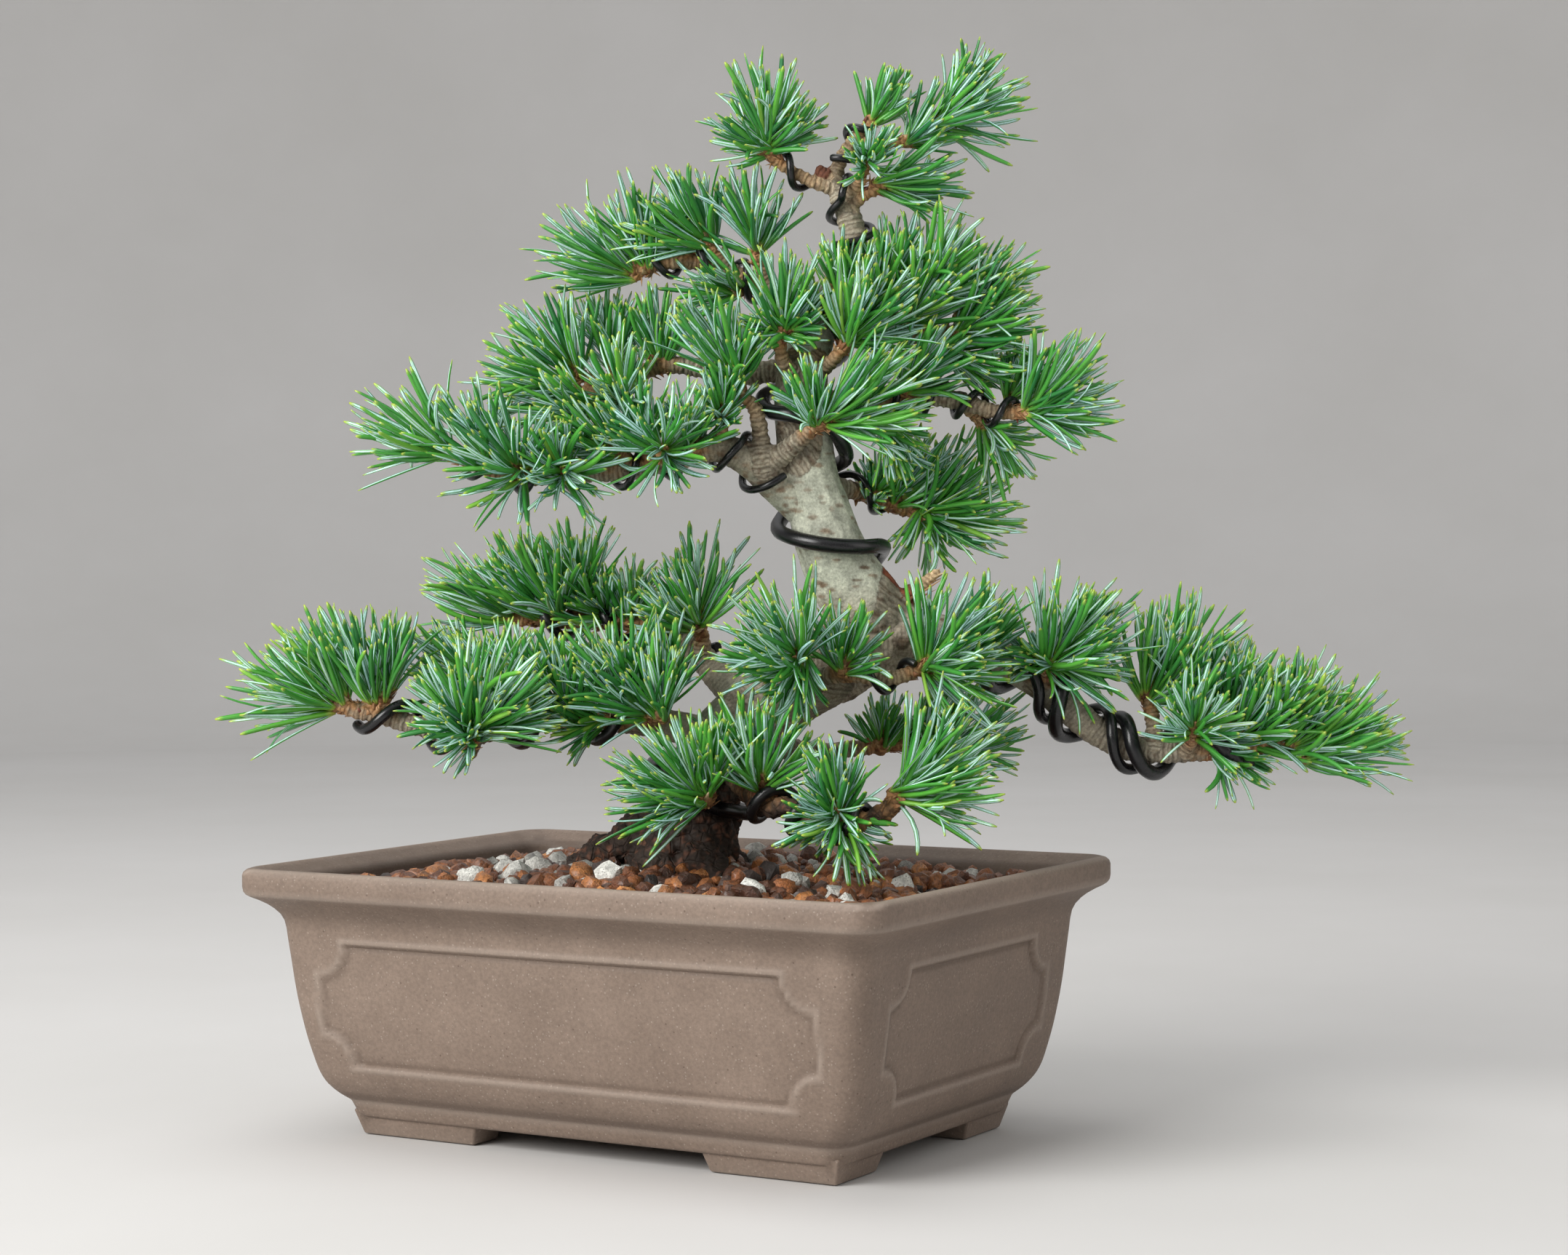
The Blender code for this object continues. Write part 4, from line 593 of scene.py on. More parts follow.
def group(name, inputs, outputs):
    """A node group with number sockets: inputs as {label: value}, outputs as labels."""
    made = bpy.data.node_groups.new(name, "ShaderNodeTree")
    for label, value in inputs.items():
        socket = made.interface.new_socket(label, in_out="INPUT", socket_type="NodeSocketFloat")
        socket.default_value = value
    for label in outputs:
        made.interface.new_socket(label, in_out="OUTPUT", socket_type="NodeSocketFloat")
    return made, made.nodes.new("NodeGroupInput"), made.nodes.new("NodeGroupOutput")


def fill(tree, socket, value):
    """Links a socket to another one, or gives it a number or a colour."""
    if isinstance(value, bpy.types.NodeSocket):
        tree.links.new(value, socket)
    elif isinstance(value, (int, float)):
        socket.default_value = value
    else:
        socket.default_value = (*value, 1.0)


def node(tree, kind, values=None, **settings):
    """A new node. values fill its inputs, by name or number."""
    made = tree.nodes.new(kind)
    for key, value in settings.items():
        setattr(made, key, value)
    for key, value in (values or {}).items():
        fill(tree, made.inputs[key], value)
    return made


def ramp(tree, source, stops):
    """A colour ramp. stops are (position, grey or colour)."""
    made = node(tree, "ShaderNodeValToRGB", {"Fac": source})
    bar = made.color_ramp
    while len(bar.elements) < len(stops):
        bar.elements.new(0.5)
    for element, (position, colour) in zip(bar.elements, stops):
        element.position = position
        if isinstance(colour, (int, float)):
            colour = (colour, colour, colour)
        element.color = (*colour, 1.0)
    return made.outputs["Color"]


def mix(tree, share, first, second, blend="MIX"):
    """A colour mix. Each argument is a socket, a number or a colour."""
    values = {0: share, 6: first, 7: second}
    return node(tree, "ShaderNodeMix", values, data_type="RGBA", blend_type=blend).outputs[2]


def sums(tree, operation, first, second=0.0, clamp=False):
    values = {0: first, 1: second}
    return node(tree, "ShaderNodeMath", values, operation=operation, use_clamp=clamp).outputs[0]


def times(tree, first, second):
    return sums(tree, "MULTIPLY", first, second)


def object_space(tree):
    return tree.nodes.new("ShaderNodeTexCoord").outputs["Object"]


def marked(tree, label):
    return node(tree, "ShaderNodeAttribute", attribute_name=label).outputs["Fac"]


def noise_of(tree, where, scale, detail=4.0, roughness=0.6):
    values = {"Vector": where, "Scale": scale, "Detail": detail, "Roughness": roughness}
    return node(tree, "ShaderNodeTexNoise", values).outputs["Fac"]


def grain_group():
    """Mottling, fine grain and scattered specks on a matt surface."""
    made, given, out = group(
        "surface_grain", {"Mottle Scale": 60.0, "Speck Scale": 900.0, "Speck Share": 0.2},
        ("Mottle", "Grain", "Specks"),
    )
    where = object_space(made)
    small = given.outputs["Speck Scale"]
    fill(made, out.inputs["Mottle"], noise_of(made, where, given.outputs["Mottle Scale"], 5.0, 0.62))
    fill(made, out.inputs["Grain"], noise_of(made, where, small, 3.0, 0.7))
    cells = node(made, "ShaderNodeTexVoronoi", {"Vector": where, "Scale": small})
    near = sums(made, "LESS_THAN", cells.outputs["Distance"], given.outputs["Speck Share"])
    red = node(made, "ShaderNodeSeparateColor", {0: cells.outputs["Color"]}).outputs[0]
    fill(made, out.inputs["Specks"], times(made, near, sums(made, "GREATER_THAN", red, 0.72)))
    return made


def dust_group():
    """Settled dust: a mask that grows where a surface faces up and is broken up by noise."""
    made, given, out = group("settled_dust", {"Amount": 0.3}, ("Dust",))
    facing = made.nodes.new("ShaderNodeNewGeometry").outputs["Normal"]
    split = node(made, "ShaderNodeSeparateXYZ", {0: facing})
    up = sums(made, "MAXIMUM", split.outputs["Z"])
    patches = ramp(made, noise_of(made, object_space(made), 140.0, 5.0), ((0.4, 0.0), (0.7, 1.0)))
    share = times(made, up, patches)
    fill(made, out.inputs["Dust"], sums(made, "MULTIPLY", share, given.outputs["Amount"], clamp=True))
    return made


GRAIN = grain_group()
DUST = dust_group()


def grained(tree, mottle_scale, speck_scale, speck_share):
    """The surface grain placed in a material: its mottle, its grain and its specks."""
    values = {"Mottle Scale": mottle_scale, "Speck Scale": speck_scale, "Speck Share": speck_share}
    made = node(tree, "ShaderNodeGroup", values, node_tree=GRAIN)
    return made.outputs["Mottle"], made.outputs["Grain"], made.outputs["Specks"]


def dusty(tree, amount):
    return node(tree, "ShaderNodeGroup", {"Amount": amount}, node_tree=DUST).outputs["Dust"]


def feed(shader, **values):
    """Fills a shader's sockets, each named with _ for a space."""
    for key, value in values.items():
        fill(shader.id_data, shader.inputs[key.replace("_", " ")], value)


def finish_of(name, colour, roughness, **plain):
    """A material with its Principled shader. plain sets sockets that are the same all over."""
    made = bpy.data.materials.new(name)
    made.use_nodes = True
    shader = made.node_tree.nodes["Principled BSDF"]
    feed(shader, Base_Color=colour, Roughness=roughness, **plain)
    return made, made.node_tree, shader


def shaded(tree, body, source, *stops):
    """A colour made darker and lighter by a source."""
    return mix(tree, 1.0, body, ramp(tree, source, stops), "MULTIPLY")


def paint(shader, body, mottle, smoothest, roughest):
    """Gives a shader its colour, and a roughness that follows the mottling."""
    roughness = ramp(shader.id_data, mottle, ((0.3, smoothest), (0.7, roughest)))
    feed(shader, Base_Color=body, Roughness=roughness)


def raise_surface(shader, height, strength, distance):
    values = {"Strength": strength, "Distance": distance, "Height": height}
    feed(shader, Normal=node(shader.id_data, "ShaderNodeBump", values).outputs["Normal"])


def clay_finish():
    """Unglazed fired clay with grit and small pits, paler at its edges from wear and a painted
    highlight, and darker with painted shade in its hollows, creases, rim top and inside.
    """
    made, tree, shader = finish_of("fired_clay", (0.27, 0.20, 0.155), 0.62, Specular_IOR_Level=0.35)
    mottle, grain, grit = grained(tree, 38.0, 950.0, 0.26)
    pits = grained(tree, 90.0, 420.0, 0.13)[2]
    body = mix(tree, ramp(tree, mottle, ((0.32, 0.0), (0.68, 1.0))),
               (0.174, 0.127, 0.098), (0.224, 0.167, 0.131))
    body = shaded(tree, body, grain, (0.35, 0.86), (0.65, 1.10))
    for share, tone in (
        (times(tree, grit, 0.42), (0.36, 0.30, 0.25)),
        (times(tree, pits, 0.6), (0.085, 0.055, 0.040)),
        # paler edges: real wear together with a painted highlight
        (times(tree, marked(tree, "wear_and_highlight"), 0.55), (0.38, 0.315, 0.265)),
        # painted shade from the pot's mark: darker clay in hollows, creases, on the rim's top and
        # inside
        (times(tree, marked(tree, "painted_shade"), 0.8), (0.082, 0.056, 0.042)),
        (dusty(tree, 0.10), (0.34, 0.29, 0.25)),
    ):
        body = mix(tree, share, body, tone)
    paint(shader, body, mottle, 0.52, 0.70)
    raise_surface(shader, sums(tree, "ADD", grain, times(tree, pits, -0.6)), 0.35, 0.00035)
    return made


def bark_finish():
    """Bark: colour by zone from the mesh, broken by grain, wrinkles and cracks."""
    made, tree, shader = finish_of("pine_bark", (0.3, 0.26, 0.2), 0.8, Specular_IOR_Level=0.3)
    where = object_space(tree)
    mottle, grain, _ = grained(tree, 160.0, 1300.0, 0.3)
    body = node(tree, "ShaderNodeAttribute", attribute_name="tint").outputs["Color"]
    body = shaded(tree, body, mottle, (0.30, 0.62), (0.50, 0.98), (0.72, 1.32))
    body = shaded(tree, body, grain, (0.3, 0.70), (0.7, 1.28))
    uneven = times(tree, noise_of(tree, where, 330.0, 2.0), 1.9)
    wave = times(tree, sums(tree, "ADD", marked(tree, "along"), uneven), 4.6)
    wave = sums(tree, "ADD", times(tree, sums(tree, "SINE", wave), 0.5), 0.5)
    wrinkle = times(tree, sums(tree, "POWER", wave, 2.0), marked(tree, "wrinkled"))
    body = mix(tree, wrinkle, body, mix(tree, 1.0, body, (0.50, 0.44, 0.38), "MULTIPLY"))
    plates = node(tree, "ShaderNodeTexVoronoi", {"Vector": where, "Scale": 260.0},
                  feature="DISTANCE_TO_EDGE")
    cracks = ramp(tree, plates.outputs["Distance"], ((0.0, 1.0), (0.09, 0.0)))
    cracks = times(tree, cracks, marked(tree, "rough"))
    body = mix(tree, times(tree, cracks, 0.65), body, (0.02, 0.013, 0.010))
    paint(shader, body, mottle, 0.62, 0.86)
    height = sums(tree, "SUBTRACT", mottle, sums(tree, "ADD", cracks, wrinkle))
    height = sums(tree, "ADD", height, times(tree, grain, 0.25))
    raise_surface(shader, height, 0.55, 0.0005)
    return made


def needle_finish():
    """Pine needle: green outside, two pale bands inside, yellow at base and tip."""
    made, tree, shader = finish_of("pine_needle", (0.05, 0.2, 0.04), 0.36, Specular_IOR_Level=0.5)
    uv = tree.nodes.new("ShaderNodeTexCoord").outputs["UV"]
    split = node(tree, "ShaderNodeSeparateXYZ", {0: uv})
    across, along = split.outputs["X"], split.outputs["Y"]
    tone = marked(tree, "tone")
    green = ramp(tree, tone, ((0.0, (0.022, 0.160, 0.048)), (0.45, (0.055, 0.295, 0.042)),
                              (0.85, (0.120, 0.430, 0.048)), (1.0, (0.270, 0.520, 0.070))))
    green = mix(tree, ramp(tree, along, ((0.08, 0.35), (0.40, 0.0))), green, (0.20, 0.42, 0.045))
    band = ramp(tree, across, ((0.0, 0.0), (0.535, 0.0), (0.565, 1.0), (0.69, 1.0), (0.725, 0.0),
                               (0.775, 0.0), (0.81, 1.0), (0.935, 1.0), (0.965, 0.0)))
    ends = ramp(tree, along, ((0.02, 0.0), (0.10, 1.0), (0.93, 1.0), (0.98, 0.0)))
    lines = ramp(tree, noise_of(tree, object_space(tree), 900.0, 2.0), ((0.3, 0.72), (0.6, 1.0)))
    band = times(tree, times(tree, band, ends), lines)
    bloom = ramp(tree, tone, ((0.0, (0.50, 0.76, 0.80)), (1.0, (0.76, 0.97, 0.95))))
    body = mix(tree, times(tree, band, 0.92), green, bloom)
    for stops, yellow in (
        (((0.0, 1.0), (0.035, 0.75), (0.11, 0.0)), (0.56, 0.58, 0.12)),
        (((0.92, 0.0), (0.975, 0.6), (0.99, 0.85)), (0.47, 0.58, 0.075)),
        (((0.990, 0.0), (1.0, 0.6)), (0.34, 0.24, 0.06)),
    ):
        body = mix(tree, ramp(tree, along, stops), body, yellow)
    feed(shader, Base_Color=body, Roughness=ramp(tree, band, ((0.0, 0.27), (1.0, 0.50))))
    return made


def scale_finish():
    """Papery bud scales, orange-brown, each its own tone from dark to pale."""
    made, tree, shader = finish_of("bud_scale", (0.30, 0.13, 0.045), 0.6)
    body = ramp(tree, marked(tree, "tone"),
                ((0.0, (0.16, 0.045, 0.024)), (0.45, (0.35, 0.160, 0.068)),
                 (0.8, (0.52, 0.30, 0.140)), (1.0, (0.68, 0.50, 0.30))))
    fine = noise_of(tree, object_space(tree), 1600.0)
    feed(shader, Base_Color=shaded(tree, body, fine, (0.3, 0.7), (0.7, 1.25)))
    return made


def wire_finish():
    """Annealed training wire: satin black, a little dusty on top."""
    made, tree, shader = finish_of("black_wire", (0.010, 0.010, 0.012), 0.34, Metallic=0.15,
                                   Specular_IOR_Level=0.55)
    mottle, grain, _ = grained(tree, 120.0, 1500.0, 0.22)
    body = mix(tree, ramp(tree, mottle, ((0.4, 0.0), (0.75, 1.0))),
               (0.0050, 0.0050, 0.0062), (0.011, 0.011, 0.013))
    body = mix(tree, dusty(tree, 0.05), body, (0.14, 0.13, 0.12))
    paint(shader, body, mottle, 0.20, 0.36)
    raise_surface(shader, grain, 0.12, 0.0001)
    return made


def grit_finish(name, stops, roughness, coarse, wet=0.0):
    """Soil grains: each grain its own tone, with speckle and a damp sheen."""
    made, tree, shader = finish_of(name, stops[0][1], roughness, Coat_Weight=wet, Coat_Roughness=0.25)
    mottle, grain, specks = grained(tree, coarse, 1400.0, 0.3)
    body = ramp(tree, marked(tree, "tone"), stops)
    body = shaded(tree, body, mottle, (0.3, 0.55), (0.7, 1.4))
    body = shaded(tree, body, grain, (0.3, 0.75), (0.7, 1.25))
    body = mix(tree, times(tree, specks, 0.5), body, (0.03, 0.02, 0.015))
    paint(shader, body, mottle, roughness - 0.15, roughness + 0.1)
    raise_surface(shader, sums(tree, "ADD", mottle, grain), 0.85, 0.0007)
    return made


def plastic_finish():
    """Moulded netting: black plastic gone dull, with soil dust lying in it."""
    made, tree, shader = finish_of("drain_netting", (0.02, 0.022, 0.02), 0.5)
    mottle, grain, specks = grained(tree, 200.0, 1100.0, 0.3)
    body = mix(tree, ramp(tree, mottle, ((0.35, 0.0), (0.7, 1.0))),
               (0.012, 0.014, 0.012), (0.040, 0.038, 0.034))
    body = mix(tree, times(tree, specks, 0.5), body, (0.20, 0.11, 0.06))
    paint(shader, body, mottle, 0.38, 0.62)
    raise_surface(shader, grain, 0.2, 0.0001)
    return made


CLAY = clay_finish()
BARK = bark_finish()
NEEDLE = needle_finish()
SCALE = scale_finish()
WIRE = wire_finish()
NETTING = plastic_finish()
AKADAMA = grit_finish("akadama", ((0.0, (0.050, 0.019, 0.010)), (0.35, (0.135, 0.044, 0.016)),
                                  (0.7, (0.30, 0.100, 0.027)), (1.0, (0.52, 0.220, 0.065))),
                      0.46, 350.0, 0.40)
PUMICE = grit_finish("pumice", ((0.0, (0.26, 0.25, 0.23)), (0.45, (0.50, 0.49, 0.455)),
                                (1.0, (0.80, 0.79, 0.74))), 0.7, 500.0)
LAVA = grit_finish("lava", ((0.0, (0.018, 0.014, 0.013)), (0.6, (0.06, 0.04, 0.034)),
                            (1.0, (0.13, 0.07, 0.05))), 0.6, 400.0, 0.2)


# Camera, lights and floor

CAMERA_PLACE = (493.68, -764.78, 168.98)  # millimetres from the pot's middle
CAMERA_YAW, CAMERA_PITCH, CAMERA_ROLL = math.radians(30.86), math.radians(1.256), -0.0085
LENS = 70.62

# Each lamp: how far it hangs to the camera's right, towards the camera and up from the tree, in
# metres, then its size, its power and its colour.
LAMPS = {
    "key": (-1.05, 0.95, 0.68, 1.0, 31.0, (1.0, 0.99, 0.97)),
    "fill": (1.3, 0.7, 0.45, 1.0, 3.4, (1.0, 0.97, 0.94)),
    "top": (-0.1, -0.1, 1.5, 0.9, 6.0, (1.0, 0.99, 0.97)),
}

FLOOR_RADIUS = 2.0
FLOOR_STEP = 0.14  # one step of the sweep that turns the floor up into a wall
FLOOR_WALL = 1.4


def build_stage():
    """A camera before the tree, a pale round studio and its soft lamps."""
    ahead = Vector((-math.sin(CAMERA_YAW) * math.cos(CAMERA_PITCH),
                    math.cos(CAMERA_YAW) * math.cos(CAMERA_PITCH), -math.sin(CAMERA_PITCH)))
    right = Vector((math.cos(CAMERA_YAW), math.sin(CAMERA_YAW), 0.0))
    place_camera(ahead, right)
    light_world()
    middle = at(0, 0, 150)
    for name, (aside, near, up, size, power, tone) in LAMPS.items():
        lamp = bpy.data.lights.new(name, "AREA")
        lamp.size = size
        lamp.energy = power
        lamp.color = tone
        holder = linked(name, lamp)
        holder.location = middle + right * aside - ahead * near + Vector((0, 0, up))
        holder.rotation_mode = "QUATERNION"
        holder.rotation_quaternion = (middle - holder.location).to_track_quat("-Z", "Y")
    build_floor()


def place_camera(ahead, right):
    above = right.cross(ahead)
    turned_right = right * math.cos(CAMERA_ROLL) + above * math.sin(CAMERA_ROLL)
    turned_up = above * math.cos(CAMERA_ROLL) - right * math.sin(CAMERA_ROLL)
    eye = bpy.data.cameras.new("camera")
    eye.sensor_width = 36.0
    eye.lens = LENS
    eye.clip_start, eye.clip_end = 0.05, 20.0
    camera = linked("camera", eye)
    axes = Matrix((turned_right, turned_up, -ahead)).transposed()
    camera.matrix_world = Matrix.Translation(at(*CAMERA_PLACE)) @ axes.to_4x4()
    bpy.context.scene.camera = camera
    bpy.context.scene.view_settings.view_transform = "Standard"


def light_world():
    world = bpy.context.scene.world or bpy.data.worlds.new("world")
    bpy.context.scene.world = world
    world.use_nodes = True
    sky = world.node_tree.nodes["Background"]
    sky.inputs["Color"].default_value = (0.97, 0.98, 1.0, 1.0)
    sky.inputs["Strength"].default_value = 0.72


def build_floor():
    """A round floor that sweeps up into a wall all round."""
    deselect()
    foot = (POT_MIDDLE.x, POT_MIDDLE.y, POT_MIDDLE.z - 0.0002)
    bpy.ops.mesh.primitive_circle_add(vertices=96, radius=FLOOR_RADIUS, fill_type="NGON", location=foot)
    floor = named("studio_floor")
    edit_mode()
    bpy.ops.mesh.inset(thickness=0.02)
    bpy.ops.mesh.select_all(action="INVERT")
    object_mode()
    rim = max(vertex.co.xy.length for vertex in floor.data.vertices) * 0.999
    pick_edges(floor, lambda a, b: a.xy.length > rim and b.xy.length > rim)
    leans = [math.radians(10 * step - 5) for step in range(1, 10)]
    for i, lean in enumerate(leans):
        extrude_up(FLOOR_STEP * math.sin(lean))
        radius = FLOOR_RADIUS + sum(FLOOR_STEP * math.cos(lower) for lower in leans[:i + 1])
        grow = radius / (radius - FLOOR_STEP * math.cos(lean))
        widen(grow, grow, foot)
    extrude_up(FLOOR_WALL)
    object_mode()
    bpy.ops.object.shade_smooth()
    apply_place()
    made, tree, shader = finish_of("studio_paint", (0.58, 0.57, 0.56), 0.8)
    clouds = noise_of(tree, object_space(tree), 3.0)
    feed(shader, Base_Color=ramp(tree, clouds, ((0.3, (0.56, 0.55, 0.535)), (0.7, (0.60, 0.59, 0.58)))))
    floor.data.materials.append(made)


# The pot

# (height, inset from the rim's outer face) up the outside, over the lip and down inside
POT_PROFILE = (
    (5.6, 25.0), (6.2, 24.4), (8.4, 23.5), (10.0, 22.9), (10.6, 22.5), (12.6, 20.2), (15.6, 17.75),
    (19.0, 16.15), (23.5, 14.9), (30.5, 13.35), (38.4, 12.0), (45.0, 11.1), (52.5, 10.3),
    (59.0, 9.6), (62.0, 9.3), (64.3, 8.9), (66.2, 8.1), (67.9, 6.8), (69.3, 5.3), (70.6, 3.4),
    (71.6, 1.6), (72.3, 0.7), (73.2, 0.2), (74.6, 0.0), (77.8, 0.0), (78.8, 0.25), (79.6, 1.0),
    (79.98, 2.1), (79.9, 3.4), (79.1, 5.4), (77.6, 8.4), (76.8, 10.0), (76.1, 10.9), (75.0, 11.3),
    (72.0, 11.5), (66.0, 12.6), (58.0, 17.0), (30.0, 20.0), (14.6, 26.0),
)
PANEL_LOW, PANEL_HIGH = 22.4, 58.2
PANEL_HALF_LENGTH, PANEL_HALF_WIDTH = 83.5, 47.0
NOTCH = 10.0
PANEL_DEPTH = 0.9
CORNER_CUT = 6.4
DRAIN_OFFSET = 44.0
DRAIN_RADIUS = 6.0
FOOT_RING = 161.5, 97.7
FOOT_HEIGHT = 7.6
FOOT_SPREAD = 4.6
FOOT_WALL = 12.0
FOOT_GAP = 84.5, 56.0


def profile_points():
    """The profile with extra points wherever the pot's walls run long, for the panels' edges."""
    made = []
    for i, ((z0, inset0), (z1, inset1)) in enumerate(zip(POT_PROFILE, POT_PROFILE[1:])):
        before = POT_PROFILE[max(i - 1, 0)]
        after = POT_PROFILE[min(i + 2, len(POT_PROFILE) - 1)]
        edge = min(abs((z0 + z1) / 2 - PANEL_LOW), abs((z0 + z1) / 2 - PANEL_HIGH))
        pitch = 0.55 if edge < 4 else 1.2
        parts = max(1, round(abs(z1 - z0) / pitch)) if z1 > z0 and z0 < 62 else 1
        for k in range(parts):
            made.append((between(before[0], z0, z1, after[0], k / parts),
                         between(before[1], inset0, inset1, after[1], k / parts)))
    made.append(POT_PROFILE[-1])
    return made


def panel_edge(across, up, half_width):
    """Signed distance to a panel's outline, less than zero inside it."""
    middle, half = (PANEL_LOW + PANEL_HIGH) / 2, (PANEL_HIGH - PANEL_LOW) / 2
    x, z = np.abs(across), np.abs(up - middle)
    frame_distance = np.maximum(x - half_width, z - half)
    return np.maximum(frame_distance, NOTCH - np.hypot(x - half_width, z - half))


def build_pot():
    """The pot, drawn up from its underside's outline along the profile."""
    profile = profile_points()
    start_height, start_inset = profile[0]
    deselect()
    bpy.ops.mesh.primitive_plane_add(size=1.0, location=at(0, 0, start_height))
    pot = named("pot_body", CLAY)
    edit_mode()
    widen((POT_LENGTH - 2 * start_inset) * MM, (POT_WIDTH - 2 * start_inset) * MM,
          at(0, 0, start_height))
    bpy.ops.mesh.bevel(offset=CORNER_CUT * MM, segments=7, affect="VERTICES")
    object_mode()
    for along, cuts in ((0, 185), (1, 122)):
        pick_edges(pot, lambda a, b: abs((b - a)[along]) > 20 * MM and abs((b - a)[1 - along]) < 1e-6)
        bpy.ops.mesh.subdivide(number_cuts=cuts)
        object_mode()
    bpy.ops.object.mode_set(mode="EDIT")
    bpy.ops.mesh.select_mode(type="FACE")
    bpy.ops.mesh.select_all(action="SELECT")
    for (z0, inset0), (z1, inset1) in zip(profile, profile[1:]):
        extrude_up((z1 - z0) * MM)
        widen((POT_LENGTH - 2 * inset1) / (POT_LENGTH - 2 * inset0),
              (POT_WIDTH - 2 * inset1) / (POT_WIDTH - 2 * inset0), at(0, 0, 0))
    face_outwards()
    apply_place()
    sink_panels(pot)
    cut_drains(pot)
    add_feet(pot)
    pick_only(pot)
    bpy.ops.object.shade_smooth_by_angle(angle=math.radians(50))
    mark_pot_wear_and_painted_light(pot)
    on_root(pot, "clay", "pot")


def outside_insets(heights):
    """How far in from the rim the pot's outside lies, at some heights."""
    table = [(z, inset) for z, inset in profile_points() if z <= 70]
    rising = [table[0]]
    for z, inset in table[1:]:
        if z > rising[-1][0]:
            rising.append((z, inset))
    return np.interp(heights, [z for z, _ in rising], [inset for _, inset in rising])


def sink_panels(pot):
    """Sinks a panel into each wall, with a crease round it and a slight lip."""
    local = pot_points(pot.data)
    z = local[:, 2]
    inset = outside_insets(z)
    for axis, other, span, half in ((1, 0, POT_WIDTH, PANEL_HALF_LENGTH),
                                    (0, 1, POT_LENGTH, PANEL_HALF_WIDTH)):
        on_wall = (np.abs(np.abs(local[:, axis]) - (span / 2 - inset)) < 0.4) & (z > 12) & (z < 64)
        edge = panel_edge(local[:, other], z, half)
        upright = smooth_step(half - 3, half, np.abs(local[:, other])) * (
            np.abs(z - (PANEL_LOW + PANEL_HIGH) / 2) < 9)
        soft = 0.55 + 1.6 * upright
        sink = PANEL_DEPTH * (1 - smooth_step(-soft, soft, edge))
        crease = 0.38 * np.exp(-(((edge + 0.75) / 0.5) ** 2)) * (1 - upright)
        lip = 0.30 * np.exp(-(((edge - 1.1) / 0.9) ** 2))
        push = np.where(on_wall, lip - sink - crease, 0.0)
        local[:, axis] += np.sign(local[:, axis]) * push
    set_pot_points(pot.data, local)


def cut_drains(pot):
    for side in (-DRAIN_OFFSET, DRAIN_OFFSET):
        deselect()
        bpy.ops.mesh.primitive_cylinder_add(vertices=48, radius=DRAIN_RADIUS * MM, depth=30 * MM,
                                            location=at(side, 0, 10))
        cut(pot, named("drain"))


def cut(obj, cutter, operation="DIFFERENCE"):
    pick_only(obj)
    modifier = obj.modifiers.new("cut", "BOOLEAN")
    modifier.object = cutter
    modifier.operation = operation
    modifier.solver = "EXACT"
    bpy.ops.object.modifier_apply(modifier=modifier.name)
    remove(cutter)


def tapered_box(name, size, place, top_scale):
    """A box of a size in millimetres, whose top face is resized by top_scale, (x, y)."""
    deselect()
    bpy.ops.mesh.primitive_cube_add(size=1.0, location=place)
    box = named(name)
    bpy.ops.transform.resize(value=[side * MM for side in size], center_override=place)
    apply_place()
    edit_mode("DESELECT")
    object_mode()
    for face in box.data.polygons:
        face.select = face.normal.z > 0.9
    bpy.ops.object.mode_set(mode="EDIT")
    widen(*top_scale, place)
    object_mode()
    return box


def add_feet(pot):
    """The ring under the pot, cut into four corner feet with slanted ends."""
    long, short = FOOT_RING
    ring = tapered_box("feet", (long, short, FOOT_HEIGHT), at(0, 0, FOOT_HEIGHT / 2),
                       ((long + FOOT_SPREAD) / long, (short + FOOT_SPREAD) / short))
    ring.data.materials.append(CLAY)
    hollow = (long - 2 * FOOT_WALL, short - 2 * FOOT_WALL, 20)
    cut(ring, tapered_box("hollow", hollow, at(0, 0, 3), (1, 1)))
    through = 260.0
    for size, top in (((FOOT_GAP[0], through, 11.2), (0.915, 1)),
                      ((through, FOOT_GAP[1], 11.2), (1, 0.885))):
        cut(ring, tapered_box("gap", size, at(0, 0, 0), top))
    bevel = ring.modifiers.new("soft_edges", "BEVEL")
    bevel.width = 0.8 * MM
    bevel.segments = 3
    bevel.limit_method = "ANGLE"
    apply_all(ring)
    cut(pot, ring, "UNION")


